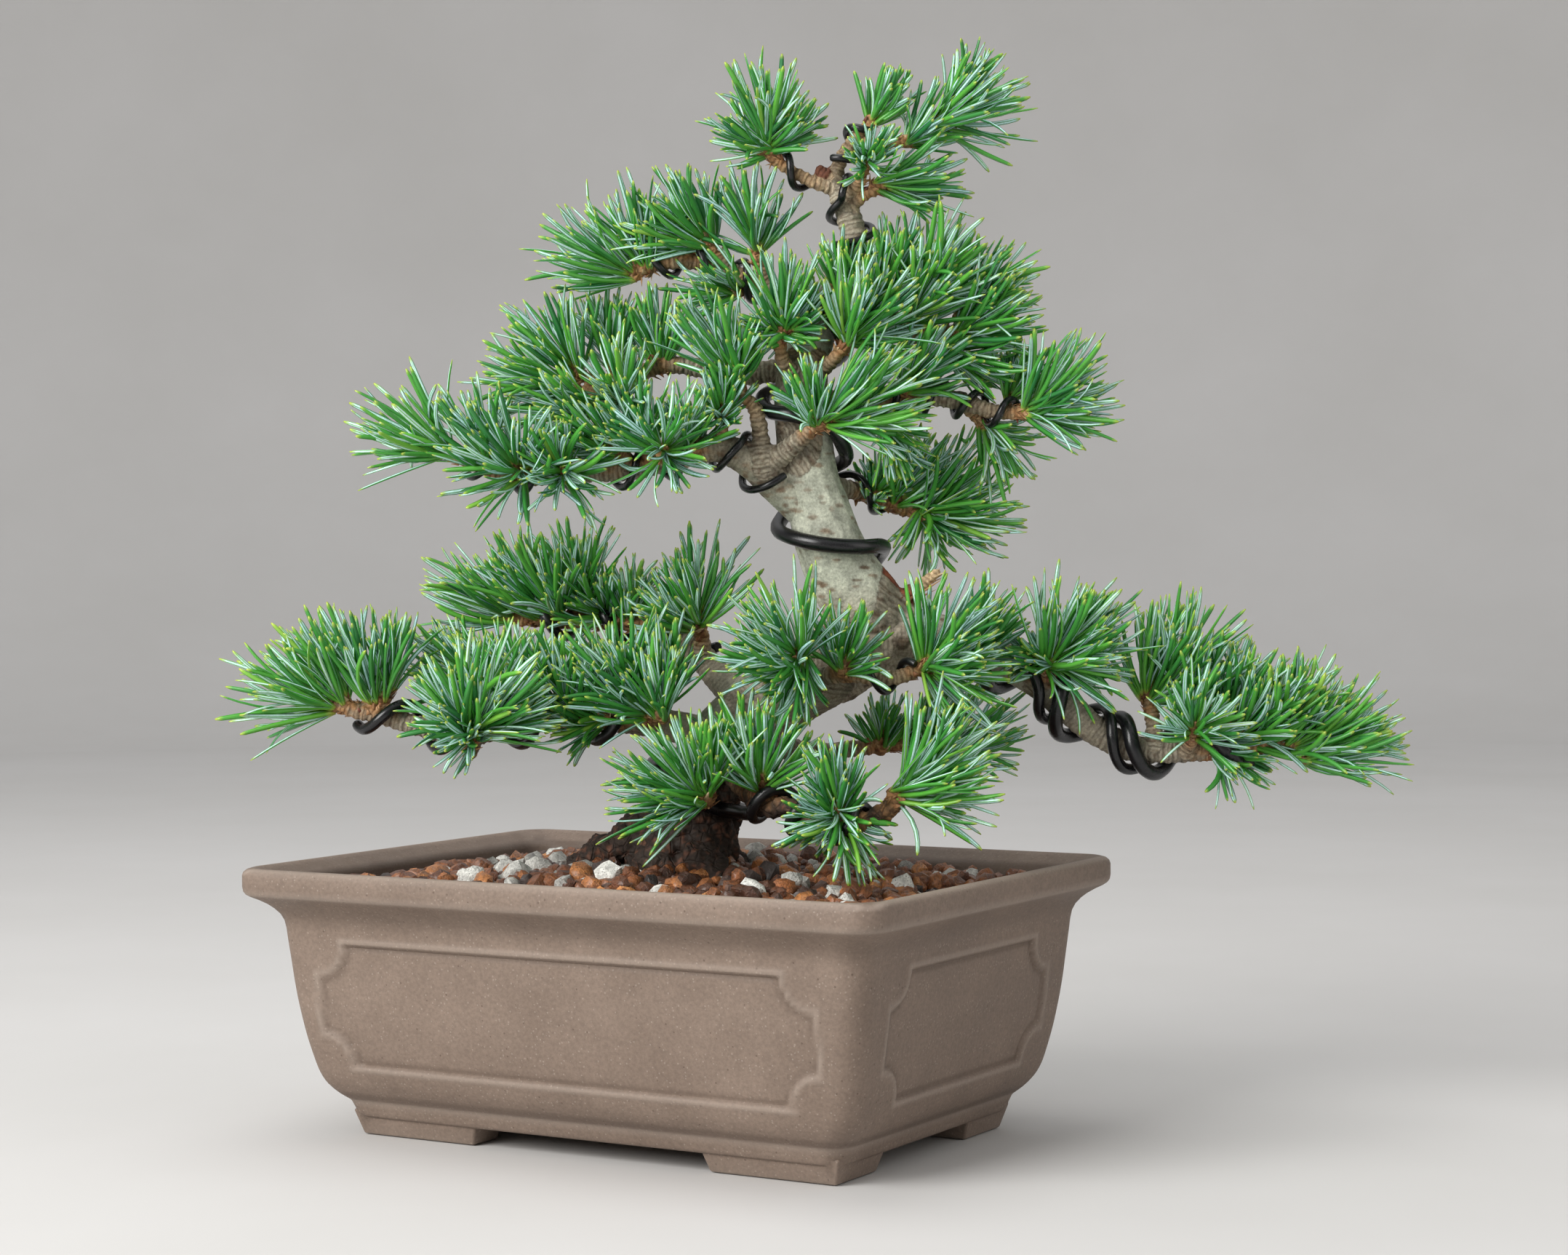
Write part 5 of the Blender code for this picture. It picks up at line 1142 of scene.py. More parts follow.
def mark_pot_wear_and_painted_light(pot):
    """Marks where the clay is paler, from wear and a painted highlight, and where it gets painted
    shade.
    """
    x, y, z = pot_points(pot.data).T
    front = panel_edge(x, z, PANEL_HALF_LENGTH)
    side = panel_edge(y, z, PANEL_HALF_WIDTH)
    on_front = np.abs(y) - POT_WIDTH / 2 > np.abs(x) - POT_LENGTH / 2
    edge = np.where(on_front, front, side)
    past = np.where(on_front, np.abs(x) > PANEL_HALF_LENGTH + 4.5, np.abs(y) > PANEL_HALF_WIDTH + 4.5)
    edge = np.where(past, 9.0, edge)
    # Paler clay along the panels' lips, the rim's edge, the outer lip, the band and the feet: partly
    # real wear, partly a painted highlight where these edges catch the light.
    panel_wear_and_highlight = 0.75 * np.exp(-(((edge - 1.2) / 0.8) ** 2)) * ((z > 18) & (z < 62))
    inset = np.minimum(POT_LENGTH / 2 - np.abs(x), POT_WIDTH / 2 - np.abs(y))
    lip = 0.95 * np.exp(-(((inset - 1.5) / 0.9) ** 2)) * (z > 78.4)
    outer_lip = 0.8 * np.exp(-(((z - 72.6) / 0.7) ** 2))
    band = 0.8 * np.exp(-(((z - 10.4) / 0.6) ** 2))
    feet = 0.6 * (1 - smooth_step(0.2, 1.2, z))
    mark(pot.data, "wear_and_highlight", np.clip(panel_wear_and_highlight + lip + outer_lip + band + feet, 0, 1))
    # Painted shade: the clay is darkened in the cove under the lip, in the creases round the panels,
    # under the band above the feet, on the rim's top and on the inner wall, where shade falls.
    cove = np.exp(-(((z - 66.5) / 2.6) ** 2)) * 0.35 * (inset < 12)
    groove = 0.5 * np.exp(-(((edge + 1.0) / 0.7) ** 2)) * ((z > 18) & (z < 62))
    under = 0.6 * np.exp(-(((z - 12.2) / 0.9) ** 2))
    top = 0.42 * smooth_step(2.5, 5.0, inset) * (z > 76)
    inside = 0.9 * smooth_step(8.8, 10.6, inset) * (z > 67.5)
    mark(pot.data, "painted_shade", np.clip(cove + groove + under + top + inside, 0, 1))


# The soil

GRAIN_SPACING = 4.7
GRAIN_SIZE = 4.9  # the middle grain; most lie between 3.5 and 7 millimetres
LOOSE_GRAINS = 520
BED_MARGIN, GRAIN_MARGIN = 12.0, 13.5  # in from the pot's rim
# Each grit: its finish, the share of the grains it starts and ends at, how much larger its grains
# are and how far their corners are cut.
GRITS = {
    "akadama_grains": (AKADAMA, 0.0, 0.84, 1.0, 0.27),
    "pumice_grains": (PUMICE, 0.84, 0.965, 1.12, 0.24),
    "lava_grains": (LAVA, 0.965, 1.0, 1.0, 0.2),
}


def soil_height(x, y):
    """The bed's top: mounded to the trunk, falling at the pot's ends, a little uneven."""
    share = np.clip(1 - np.hypot(x, y) / 75.0, 0, 1)
    ends = smooth_step(66, 94, np.abs(x))
    return 73.7 + 5.7 * share**0.8 - 2.6 * ends + 0.35 * np.sin(x * 0.31) * np.cos(y * 0.37)


def build_bed():
    """The bed under the loose grains: a rough closed slab that fills the pot."""
    top, bottom = 72, 58
    deselect()
    bpy.ops.mesh.primitive_grid_add(x_subdivisions=130, y_subdivisions=88, size=1.0,
                                    location=at(0, 0, top))
    bed = named("soil_bed", AKADAMA)
    widen((POT_LENGTH - 2 * BED_MARGIN) * MM, (POT_WIDTH - 2 * BED_MARGIN) * MM, at(0, 0, top))
    edit_mode()
    extrude_up((bottom - top) * MM)
    widen(0.93, 0.90, at(0, 0, bottom))
    face_outwards()
    apply_place()
    local = pot_points(bed.data)
    upper = local[:, 2] > (top + bottom) / 2
    rough = fractal_of(local, 0.35)
    local[upper, 2] = soil_height(local[upper, 0], local[upper, 1]) - 2.2 + 1.3 * rough[upper]
    set_pot_points(bed.data, local)
    mark(bed.data, "tone", np.clip(0.12 + 0.25 * rough, 0, 1))
    bpy.ops.object.shade_smooth()
    on_root(bed, "grit", "soil")


def grain_master(name, corner_cut):
    """A lump of grit: a cube with its edges cut off."""
    deselect()
    bpy.ops.mesh.primitive_cube_add(size=1.0, location=(0, 0, 0))
    lump = named(name)
    edit_mode()
    bpy.ops.mesh.bevel(offset=corner_cut, segments=1, affect="EDGES")
    object_mode()
    return lump


def scatter_grains(name, finish, centres, sizes, corner_cut):
    """One object of grains, each turned, squashed and knocked out of true its own way."""
    master = grain_master(name + "_master", corner_cut)
    shape = points_of(master.data)
    places = []
    for centre, size in zip(centres, sizes):
        squash = DICE.uniform(0.72, 1.15, 3) * (1.0, 0.9, 0.78)
        lumpy = shape * (1 + DICE.uniform(-0.18, 0.18, shape.shape))
        places.append((lumpy * squash) @ any_turn().T * size * MM + np.array(at(*centre)))
    made = copies(name, master, np.array(places), finish,
                  {"tone": DICE.beta(1.7, 1.7, len(centres))}, smooth=False)
    remove(master)
    pick_only(made)
    bpy.ops.object.shade_smooth_by_angle(angle=math.radians(44))
    on_root(made, "grit")


def build_soil():
    build_bed()
    long, short = POT_LENGTH / 2 - GRAIN_MARGIN, POT_WIDTH / 2 - GRAIN_MARGIN
    row_pitch = GRAIN_SPACING * 0.866
    spots = []
    for row in range(int(2 * short / row_pitch) + 1):
        for x in np.arange(-long + (row % 2) * GRAIN_SPACING / 2, long, GRAIN_SPACING):
            spots.append((x, -short + row * row_pitch, 0.0))
    loose = [(DICE.uniform(-long, long), DICE.uniform(-short, short), 2.2)
             for _ in range(LOOSE_GRAINS)]
    spots = np.array(spots + loose)
    spots[:, :2] += DICE.uniform(-1.3, 1.3, (len(spots), 2))
    spots[:, 2] += soil_height(spots[:, 0], spots[:, 1]) - 1.5 + DICE.uniform(-0.6, 0.9, len(spots))
    keep = (np.abs(spots[:, 0]) < long) & (np.abs(spots[:, 1]) < short)
    keep &= np.hypot(spots[:, 0], spots[:, 1]) > 15
    spots = spots[keep]
    sizes = np.clip(DICE.lognormal(math.log(GRAIN_SIZE), 0.26, len(spots)), 2.6, 7.8)
    kind = DICE.uniform(size=len(spots))
    for name, (finish, low, high, grow, corner_cut) in GRITS.items():
        chosen = (kind >= low) & (kind < high)
        scatter_grains(name, finish, spots[chosen], sizes[chosen] * grow, corner_cut)


# Trunk, limbs and twigs

THICK_WOOD = ("lower_trunk", "upper_trunk", "root_left", "root_front", "root_right", "root_back",
              "root_deep", "right_limb", "jin")
TRUNK_VOXEL, LIMB_VOXEL = 0.60 * MM, 0.66 * MM
TUBE_SIDES = 14
LENTICELS = 210
SPLINTERS = 26

# Bark colours, from the youngest wood to the oldest
TWIG_BARK = (0.40, 0.265, 0.145)
BUD_BARK = (0.40, 0.205, 0.085)
LIMB_BARK = (0.31, 0.275, 0.210)
SMOOTH_BARK = (0.46, 0.475, 0.385)
KNEE_BARK = (0.45, 0.385, 0.305)
KNEE_PATCH = (0.15, 0.115, 0.085)
OLD_BARK = (0.036, 0.024, 0.018)
OLD_RED = (0.115, 0.050, 0.030)
SCAR = (0.13, 0.085, 0.055)
LENTICEL = (0.20, 0.135, 0.085)
TORN_ROOT, TORN_TIP = (0.26, 0.075, 0.040), (0.62, 0.45, 0.27)
WOUND = (0.16, 0.06, 0.035)


def ring_points(line, sides):
    """Rings round a line of (place, radius), turning as little as possible on the way."""
    ways = tangents_of(line)
    side = ways[0].orthogonal().normalized()
    rings = []
    for (place, radius), way in zip(line, ways):
        side = (side - way * side.dot(way)).normalized()
        up = way.cross(side)
        for k in range(sides):
            angle = 2 * math.pi * k / sides
            rings.append(place + (side * math.cos(angle) + up * math.sin(angle)) * radius)
    return rings


def add_tube(points, faces, line):
    """Adds a closed tube with rounded ends to lists of points and faces."""
    sides = TUBE_SIDES
    ways = tangents_of(line)
    (first, r0), (last, r1) = line[0], line[-1]
    head = [(first - ways[0] * r0 * 0.8, r0 * 0.55), (first - ways[0] * r0 * 0.4, r0 * 0.9)]
    tail = [(last + ways[-1] * r1 * 0.4, r1 * 0.9), (last + ways[-1] * r1 * 0.8, r1 * 0.55)]
    line = head + list(line) + tail
    base = len(points)
    points += ring_points(line, sides)
    for i in range(len(line) - 1):
        for k in range(sides):
            a = base + i * sides + k
            b = base + i * sides + (k + 1) % sides
            faces.append((a, b, b + sides, a + sides))
    faces.append(tuple(range(base + sides - 1, base - 1, -1)))
    top = base + (len(line) - 1) * sides
    faces.append(tuple(range(top, top + sides)))


def shoot_stems():
    """For each pad, its shoots' stems: lines from the nearest limb to where needles spring."""
    spans = limb_spans()
    made = {}
    for pad, shoots in PADS.items():
        made[pad] = []
        for spot, aim, _, _ in shoots:
            bud, way = in_tree(*spot), tree_way(*aim)
            gap, out, distance = nearest_span(bud, spans)
            k = int(gap.argmin())
            root = bud - Vector(out[k])
            line = [(bud + way * 0.0020, 0.0011)]
            if distance[k] > 0.0022:
                middle = root.lerp(bud, 0.55) - way * distance[k] * 0.2
                line = [(root, 0.0019), (middle, 0.0016), (bud, 0.0016)] + line
            else:
                line = [(bud - way * 0.003, 0.0017), (bud, 0.0016)] + line
            made[pad].append(smooth_points(line, 4))
    return made


def place_on(line, back):
    """The place on a line some metres back from its end."""
    for i in range(len(line) - 1, 0, -1):
        step = (line[i][0] - line[i - 1][0]).length
        if back <= step:
            return line[i][0].lerp(line[i - 1][0], back / max(step, 1e-9))
        back -= step
    return line[0][0]


def wood_object(name, lines, voxel):
    """A mesh of tubes grown together into one skin."""
    points, faces = [], []
    for line in lines:
        add_tube(points, faces, line)
    mesh = bpy.data.meshes.new(name)
    mesh.from_pydata([tuple(p) for p in points], [], faces)
    obj = linked(name, mesh)
    skin = obj.modifiers.new("one_skin", "REMESH")
    skin.mode = "VOXEL"
    skin.voxel_size = voxel
    calm = obj.modifiers.new("calm", "SMOOTH")
    calm.factor = 0.5
    calm.iterations = 2
    apply_all(obj)
    obj.data.materials.append(BARK)
    return obj


def nearest_on_wood(points, stems):
    """For each point: millimetres along the nearest limb, that limb's radius and its name."""
    lines = [(name, limb_line(name, 6)) for name in LIMBS]
    lines += [("stem", line) for lines in stems.values() for line in lines]
    names, facts, places, ways = [], [], [], []
    for name, line in lines:
        along = 0.0
        for i, ((place, radius), way) in enumerate(zip(line, tangents_of(line))):
            if i:
                along += (place - line[i - 1][0]).length / MM
            names.append(name)
            facts.append((along, radius / MM))
            places.append(tuple(place))
            ways.append(tuple(way))
    tree = finder_of(places)
    index = np.array([tree.find(p)[1] for p in points])
    facts, names, places = np.array(facts)[index], np.array(names)[index], np.array(places)[index]
    facts[:, 0] += np.einsum("ij,ij->i", points - places, np.array(ways)[index]) / MM
    return facts, names


def blend(tint, other, share):
    """Moves rows of colour towards another colour, each by its own share."""
    return tint + (np.array(other) - tint) * np.clip(share, 0, 1)[:, None]


def bark_relief(obj, stems):
    """Moves the skin in and out as bark does, and colours it by how old the wood is."""
    mesh = obj.data
    points, local = points_of(mesh), pot_points(mesh)
    facts, names = nearest_on_wood(points, stems)
    along, radius = facts.T
    height = local[:, 2]
    old = 1 - smooth_step(97, 113, height)
    knee = (1 - smooth_step(142, 166, height)) * (1 - old) * smooth_step(5.0, 8.0, radius)
    thin = 1 - smooth_step(3.2, 5.6, radius)
    coarse = fractal_of(local, 0.16)
    lumps = np.array([noise.noise(Vector(p) * 0.55) for p in local])
    fine = np.array([noise.noise(Vector((p[0], p[1], p[2] * 0.8)) * 1.3) for p in local])
    plates = np.array([noise.voronoi(Vector((p[0], p[1], p[2] * 0.6)) * 0.24)[0][0] for p in local])
    ridges = np.sin(along * 2 * math.pi / 2.3 + 2.5 * lumps)
    relief = old * (1.5 * coarse + 2.2 * (plates - 0.35) + 0.6 * fine)
    relief += knee * (0.55 * coarse + 0.35 * lumps + 0.18 * fine)
    relief += (1 - old) * (1 - knee) * (1 - thin) * (0.18 * coarse + 0.08 * fine)
    relief += (1 - old) * thin * (0.20 * ridges + 0.22 * lumps + 0.12 * fine)
    set_points(mesh, points + normals_of(mesh) * (relief * MM)[:, None])

    tint = np.tile(np.array(LIMB_BARK), (len(points), 1))
    for colour, share in (
        (SMOOTH_BARK, smooth_step(4.4, 6.6, radius)),
        (KNEE_BARK, knee * 1.2 * smooth_step(4.4, 6.6, radius)),
        (TWIG_BARK, 1 - smooth_step(1.6, 2.9, radius)),
        (OLD_BARK, old),
        (OLD_RED, old * smooth_step(0.1, 0.45, lumps)),
        (KNEE_PATCH, knee * smooth_step(0.22, 0.5, coarse + 0.4 * fine)),
    ):
        tint = blend(tint, colour, share)
    tint *= (1 + 0.16 * coarse + 0.18 * lumps + 0.12 * ridges * thin + 0.12 * fine)[:, None]
    scars = thin * (1 - old) * smooth_step(0.25, 0.6, lumps - 0.3 * ridges)
    tint = blend(tint, SCAR, scars * 0.75)
    add_lenticels(points, tint, radius, height)
    bare = (names == "jin") & (along > 7.6)
    split = smooth_step(9.5, 13.5, along)[:, None]
    raw = np.array(TORN_ROOT) * (1 - split) + np.array(TORN_TIP) * split
    tint[bare] = (raw * (1 + 0.5 * lumps + 0.4 * fine)[:, None])[bare]
    tint[(names == "apex_stub") & (along > 2.0)] = WOUND
    tree = finder_of([in_tree(*shoot[0]) for shoots in PADS.values() for shoot in shoots])
    near_bud = 1 - smooth_step(4.5, 10.5, np.array([tree.find(p)[2] for p in points]) / MM)
    tint = blend(tint, BUD_BARK, near_bud * thin * np.clip(0.7 + lumps, 0, 1))
    tint = np.clip(tint, 0, 1)
    colour = mesh.attributes.new("tint", "FLOAT_COLOR", "POINT")
    colour.data.foreach_set("color", np.c_[tint, np.ones(len(tint))].astype(np.float32).ravel())
    mark(mesh, "rough", np.clip(old + 0.35 * knee, 0, 1))
    mark(mesh, "along", along)
    mark(mesh, "wrinkled", (1 - old) * np.clip(0.08 + 0.25 * knee + 0.62 * thin, 0, 1))
    pick_only(obj)
    bpy.ops.object.shade_smooth()


def add_lenticels(points, tint, radius, height):
    """Brown dashes across the smooth bark of the upper trunk and the thick limbs."""
    smooth = np.flatnonzero((radius > 4.4) & (height > 142) & (height < 292))
    for centre in DICE.choice(smooth, LENTICELS):
        away = points - points[centre]
        near = np.flatnonzero(np.abs(away).max(axis=1) < 0.004)
        rise = away[near, 2] / MM + DICE.uniform(-0.1, 0.1)
        flat = np.linalg.norm(away[near, :2], axis=1) / MM
        wide, tall = DICE.uniform(0.8, 2.3), DICE.uniform(0.4, 0.95)
        share = 1 - smooth_step(0.55, 1.15, np.hypot(flat / wide, rise / tall))
        brown = np.array(LENTICEL) * DICE.uniform(0.7, 1.25)
        tint[near] = tint[near] + (brown - tint[near]) * (share * DICE.uniform(0.45, 0.95))[:, None]


def build_wood(stems):
    """The trunk's skin and the limbs' skin. Gives back their points, to set bud scales on."""
    trunk = wood_object("trunk_bark", [limb_line(name, 6) for name in THICK_WOOD], TRUNK_VOXEL)
    thin = [limb_line(name, 6) for name in LIMBS if name not in THICK_WOOD]
    thin += [line for lines in stems.values() for line in lines]
    limbs = wood_object("limb_bark", thin, LIMB_VOXEL)
    for obj in (trunk, limbs):
        bark_relief(obj, stems)
        on_root(obj, "bark", "trunk_and_branches")
    build_splinters()
    return skin_of(trunk, limbs)


def skin_of(*pieces):
    """Every point of some pieces, with its normal, in a tree that finds the nearest."""
    points = np.concatenate([points_of(piece.data) for piece in pieces])
    return finder_of(points), points, np.concatenate([normals_of(piece.data) for piece in pieces])


def build_splinters():
    """Torn fibres at the end of the broken stub above the knee."""
    deselect()
    bpy.ops.mesh.primitive_cone_add(vertices=6, radius1=0.5, radius2=0.0, depth=1.0, location=(0, 0, 0))
    master = named("splinter")
    shape = points_of(master.data)
    places = []
    for i in range(SPLINTERS):
        out = i / SPLINTERS
        root = np.array(in_tree(66 + 9.5 * out + DICE.uniform(-0.8, 0.8),
                                2.4 - 1.4 * out + DICE.uniform(-0.9, 0.9),
                                155.5 + 7.5 * out + DICE.uniform(-1.6, 1.6) * (1.2 - 0.6 * out)))
        way = np.array(tree_way(7 + DICE.uniform(-1.5, 3), DICE.uniform(-1.5, 1.5),
                                6 + DICE.uniform(-3.5, 2)))
        side = unit(np.cross(way, (0, 0, 1.0)))
        up = np.cross(side, way)
        long, wide = DICE.uniform(4, 8), DICE.uniform(1.1, 2.2)
        local = shape * (wide, wide * 0.5, long)
        turned = local[:, :1] * side + local[:, 1:2] * up + (local[:, 2:] + long / 2) * way
        places.append(turned * MM + root)
    made = copies("torn_splinters", master, np.array(places), SCALE,
                  {"tone": np.linspace(0.0, 1.0, SPLINTERS)}, smooth=False)
    remove(master)
    on_root(made, "bark")


# Training wires

CLEARANCE = 0.3
WIRE_STEPS = 9  # points to a turn
WIRE_TIP = 0.86  # how thick a wire's ends are, as a share of the rest
PUSH_ROUNDS = 12


def wire_points(limb, radius, start, end, turns, first_angle):
    """Points of a helix that lies on a limb's bark. Angle 0 is the side towards the front."""
    line = limb_line(limb, 8)
    forward = tree_way(0, 1, 0)
    frames = []
    for tangent in tangents_of(line):
        front = (forward - tangent * forward.dot(tangent)).normalized()
        frames.append((front, tangent.cross(front)))
    lengths = [0.0]
    for (a, _), (b, _) in zip(line, line[1:]):
        lengths.append(lengths[-1] + (b - a).length)
    count = max(int(abs(turns) * WIRE_STEPS), 6)
    points = []
    for i in range(count + 1):
        share = i / count
        along = (start + (end - start) * share) * lengths[-1]
        k = max(j for j, length in enumerate(lengths) if length <= along)
        k = min(k, len(line) - 2)
        u = (along - lengths[k]) / (lengths[k + 1] - lengths[k])
        place = line[k][0].lerp(line[k + 1][0], u)
        bark = line[k][1] + (line[k + 1][1] - line[k][1]) * u
        front = frames[k][0].lerp(frames[k + 1][0], u).normalized()
        turned = frames[k][1].lerp(frames[k + 1][1], u).normalized()
        angle = math.radians(first_angle) + 2 * math.pi * turns * share
        reach = bark + (radius + CLEARANCE) * MM
        points.append(place + (front * math.cos(angle) + turned * math.sin(angle)) * reach)
    return points


def pushed_clear(points, radius, spans):
    """The wire's points, moved out wherever it would run into a limb or an earlier wire."""
    for _ in range(PUSH_ROUNDS):
        for i in range(len(points) - 1):
            for share in (0.0, 0.25, 0.5, 0.75, 1.0):
                place = points[i].lerp(points[i + 1], share)
                gap, out, distance = nearest_span(place, spans)
                worst = int(gap.argmin())
                lack = float(radius + CLEARANCE * MM - gap[worst])
                if lack > 0:
                    way = Vector(out[worst]) / max(float(distance[worst]), 1e-9)
                    points[i] += way * lack * (1 - share)
                    points[i + 1] += way * lack * share
    return points


def build_wires():
    spans = limb_spans()
    for name, (limb, radius, start, end, turns, first_angle) in WIRES.items():
        points = wire_points(limb, radius, start, end, turns, first_angle)
        points = pushed_clear(points, radius * MM, spans)
        line = [(place, radius * MM) for place in points]
        spans = np.concatenate([spans, line_spans(line)])
        wire = build_wire("bound_" + name, smooth_points(line, 4), radius)
        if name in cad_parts:
            on_root(wire, "wire", name)
        else:
            on_root(wire, "wire")


def build_wire(name, line, radius):
    """A round wire along a line, its ends a little nipped in by the cutters."""
    curve = bpy.data.curves.new(name, "CURVE")
    curve.dimensions = "3D"
    spline = curve.splines.new("POLY")
    spline.points.add(len(line) - 1)
    for target, (place, _) in zip(spline.points, line):
        target.co = (*place, 1.0)
    spline.points[0].radius = WIRE_TIP
    spline.points[-1].radius = WIRE_TIP
    curve.bevel_depth = radius * MM
    curve.bevel_resolution = 4
    curve.use_fill_caps = True
    pick_only(linked(name, curve))
    bpy.ops.object.convert(target="MESH")
    wire = bpy.context.active_object
    wire.data.materials.append(WIRE)
    bpy.ops.object.shade_smooth_by_angle(angle=math.radians(60))
    return wire


# Needles and bud scales

# (share of its length, share of its width) along a needle, and its section's four corners
NEEDLE_STATIONS = ((0.0, 0.62), (0.07, 0.92), (0.25, 1.0), (0.45, 1.0), (0.65, 1.0), (0.82, 0.92),
                   (0.95, 0.76), (1.0, 0.28))
NEEDLE_SECTION = ((1.0, 0.0), (0.0, 0.42), (-1.0, 0.0), (0.0, -0.62))
NEEDLES_TO_A_BUNDLE = 5
GOLDEN_TURN = math.radians(137.5)
SCALES_TO_A_SHOOT = 26


def needle_master():
    """One straight needle a unit long: a flattened section drawn out to a blunt tip."""
    deselect()
    bpy.ops.mesh.primitive_circle_add(vertices=4, radius=NEEDLE_STATIONS[0][1], fill_type="NGON",
                                      calc_uvs=False, location=(0, 0, 0))
    master = named("needle_master")
    edit_mode()
    for (low, wide), (high, narrow) in zip(NEEDLE_STATIONS, NEEDLE_STATIONS[1:]):
        extrude_up(high - low)
        widen(narrow / wide, narrow / wide, (0, 0, high))
    face_outwards()
    mesh = master.data
    points = points_of(mesh)
    angles = np.round(np.degrees(np.arctan2(points[:, 1], points[:, 0])) / 90).astype(int) % 4
    widths = np.hypot(points[:, 0], points[:, 1])
    points[:, :2] = np.array(NEEDLE_SECTION)[angles] * widths[:, None]
    set_points(mesh, points)
    layer = mesh.uv_layers.new(name="UVMap")
    for face in mesh.polygons:
        corners = [int(angles[mesh.loops[i].vertex_index]) for i in face.loop_indices]
        wraps = 3 in corners and 0 in corners
        for i, corner in zip(face.loop_indices, corners):
            place = points[mesh.loops[i].vertex_index]
            across = 4 if wraps and corner == 0 else corner
            layer.data[i].uv = (across / 4, place[2])
    return master


def perpendicular(ways):
    """Two unit vectors square to each way, as rows."""
    helper = np.where(np.abs(ways[:, 2:]) < 0.9, [[0.0, 0.0, 1.0]], [[1.0, 0.0, 0.0]])
    side = unit(np.cross(ways, helper))
    return side, np.cross(ways, side)


def tuft(shoot, stem, shade):
    """Where each of one shoot's needles starts, its way at root and tip, its outward side, its
    length and its tone."""
    _, aim, length, spread = shoot
    axis = np.array(tree_way(*aim))
    bundles = int(5 + spread / 9 + length / 7)
    step = np.arange(bundles)
    share = (step + 0.5) / bundles
    lean = np.radians(spread) * (0.08 + 1.08 * np.sqrt(share))
    lean *= DICE.uniform(0.72, 1.18, bundles)
    turn = GOLDEN_TURN * step + DICE.uniform(-0.45, 0.45, bundles) + DICE.uniform(0, 6.28)
    side, up = (v[0] for v in perpendicular(axis[None]))
    outward = np.cos(turn)[:, None] * side + np.sin(turn)[:, None] * up
    way = np.cos(lean)[:, None] * axis + np.sin(lean)[:, None] * outward
    root = np.array([place_on(stem, 7.5 * MM * max(u - 0.12, 0)) for u in share])
    root += outward * (0.5 + 0.9 * share[:, None]) * MM
    reach = length * DICE.uniform(0.84, 1.05, bundles) * (1.0 - 0.08 * share)
    starts, first, last, outs, lengths, tones = [], [], [], [], [], []
    for k in range(NEEDLES_TO_A_BUNDLE):
        side_k, up_k = perpendicular(way)
        angle = 2 * math.pi * (k + DICE.uniform(-0.2, 0.2, bundles)) / NEEDLES_TO_A_BUNDLE + turn
        out = np.cos(angle)[:, None] * side_k + np.sin(angle)[:, None] * up_k
        part = np.radians(DICE.uniform(4, 19, bundles))[:, None]
        begin = np.cos(part) * way + np.sin(part) * out
        bend = DICE.normal(0, 0.35, (bundles, 3)) + axis * DICE.uniform(-0.25, 0.42, bundles)[:, None]
        bend[:, 2] += DICE.uniform(-0.12, 0.50, bundles)
        bend += out * DICE.uniform(-0.42, 0.26, bundles)[:, None]
        starts.append(root + out * 0.3 * MM)
        first.append(unit(begin))
        last.append(unit(begin + bend))
        outs.append(out)
        lengths.append(reach * DICE.uniform(0.78, 1.08, bundles))
        tones.append(np.clip(shade + DICE.normal(0, 0.20, bundles), 0, 1))
    return [np.concatenate(rows) for rows in (starts, first, last, outs, lengths, tones)]


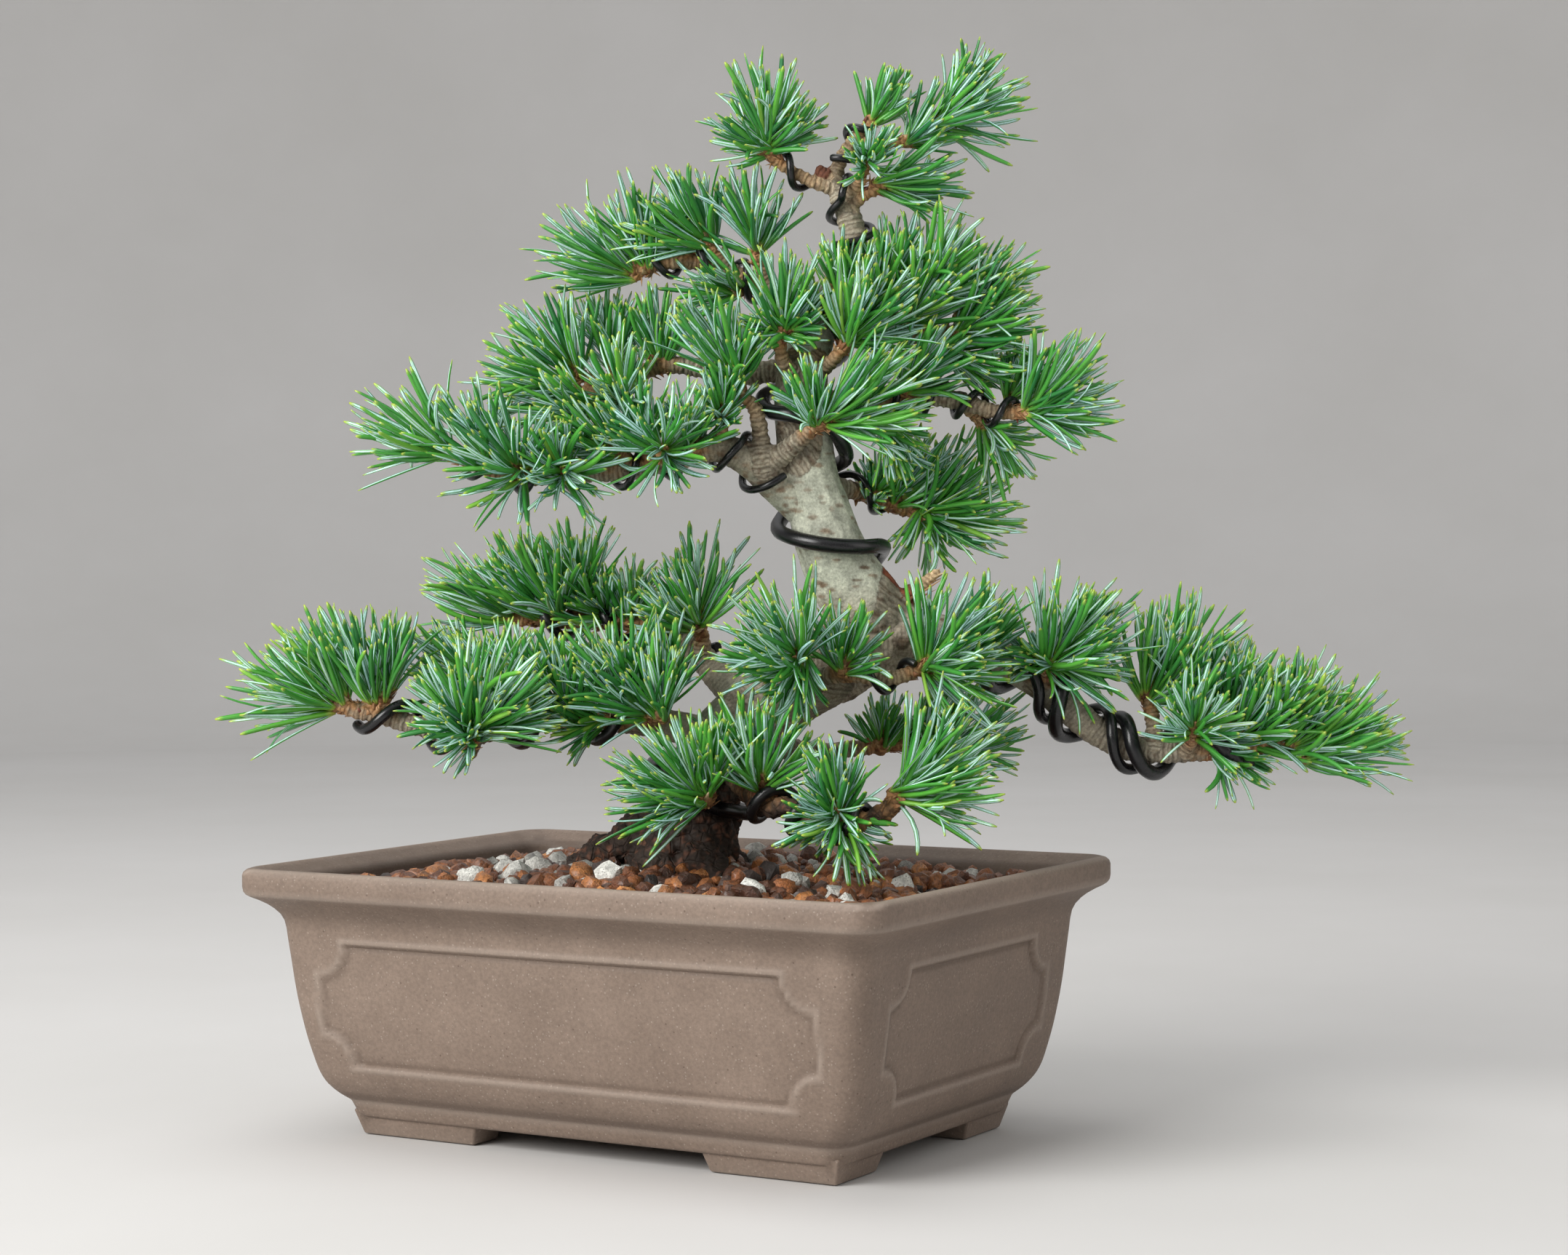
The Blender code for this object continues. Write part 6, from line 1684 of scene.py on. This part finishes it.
def build_needles(stems, skin):
    """Each pad's needles, bent copies of one master, and the papery scales at their feet."""
    master = needle_master()
    shape = points_of(master.data)
    v = shape[:, 2]
    scales = scale_master()
    scale_shape = points_of(scales.data)
    scale_places, scale_tones = [], []
    for pad, shoots in PADS.items():
        rows = [tuft(shoot, stem, DICE.uniform(0.36, 0.64)) for shoot, stem in zip(shoots, stems[pad])]
        starts, first, last, outs, lengths, tones = (np.concatenate(r) for r in zip(*rows))
        length = (lengths * MM)[:, None, None]
        turned = (last - first)[:, None]
        way = unit(first[:, None] + turned * v[None, :, None])
        centre = first[:, None] * v[None, :, None] + turned * (v**2)[None, :, None] / 2
        centre = starts[:, None] + length * centre
        out = unit(outs[:, None] - way * np.einsum("ni,nvi->nv", outs, way)[..., None])
        side = np.cross(out, way)
        half = DICE.uniform(0.67, 0.87, len(starts))[:, None, None] * MM
        places = centre + half * (side * shape[None, :, :1] + out * shape[None, :, 1:2])
        made = copies(f"tufts_{pad}", master, places, NEEDLE, {"tone": tones})
        on_root(made, "foliage", f"needles_{pad}")
        for shoot in shoots:
            placed_scales, tone = scales_on(shoot, skin, scale_shape)
            scale_places.append(placed_scales)
            scale_tones.append(tone)
    made = copies("bud_scales", scales, np.concatenate(scale_places), SCALE,
                  {"tone": np.concatenate(scale_tones)})
    on_root(made, "bark")
    remove(master)
    remove(scales)


def scale_master():
    """One papery scale: a small cone pressed flat and hollowed to a cupped blade."""
    deselect()
    bpy.ops.mesh.primitive_cone_add(vertices=6, radius1=0.55, radius2=0.12, depth=1.0,
                                    location=(0, 0, 0.5))
    master = named("scale_master")
    apply_place()
    points = points_of(master.data)
    points[:, 1] = points[:, 1] * 0.3 + 0.35 * points[:, 0] ** 2 - 0.15 * points[:, 2] ** 2
    set_points(master.data, points)
    return master


def scales_on(shoot, skin, shape):
    """Papery scales over the bark just below where a shoot's needles spring."""
    tree, points, normals = skin
    spot, aim, _, _ = shoot
    way = np.array(tree_way(*aim))
    centre = in_tree(*spot) - Vector(way) * 2.2 * MM
    near = [i for _, i, _ in tree.find_range(centre, 5.2 * MM)]
    places, tones = [], []
    for i in DICE.choice(near, SCALES_TO_A_SHOOT):
        outward = normals[i]
        lean = way - outward * way.dot(outward) + outward * DICE.uniform(0.15, 0.75)
        lean = unit(lean + DICE.normal(0, 0.15, 3))
        across = unit(np.cross(lean, outward))
        back = np.cross(across, lean)
        long, wide = DICE.uniform(1.3, 2.7), DICE.uniform(1.2, 2.0)
        local = shape * (wide, wide, long)
        turned = local[:, :1] * across + local[:, 1:2] * back + local[:, 2:] * lean
        places.append((turned - outward * 0.15) * MM + points[i])
        tones.append(np.clip(DICE.normal(0.5, 0.25), 0, 1))
    return np.array(places), np.array(tones)


# Everything together

build_stage()
build_pot()
build_soil()
stems = shoot_stems()
skin = build_wood(stems)
build_wires()
build_needles(stems, skin)
for kept, finish in (("drain_screen", NETTING), ("screen_clip", WIRE)):
    for side in ("left", "right"):
        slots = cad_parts[f"{kept}_{side}"].data.materials
        slots.clear()
        slots.append(finish)
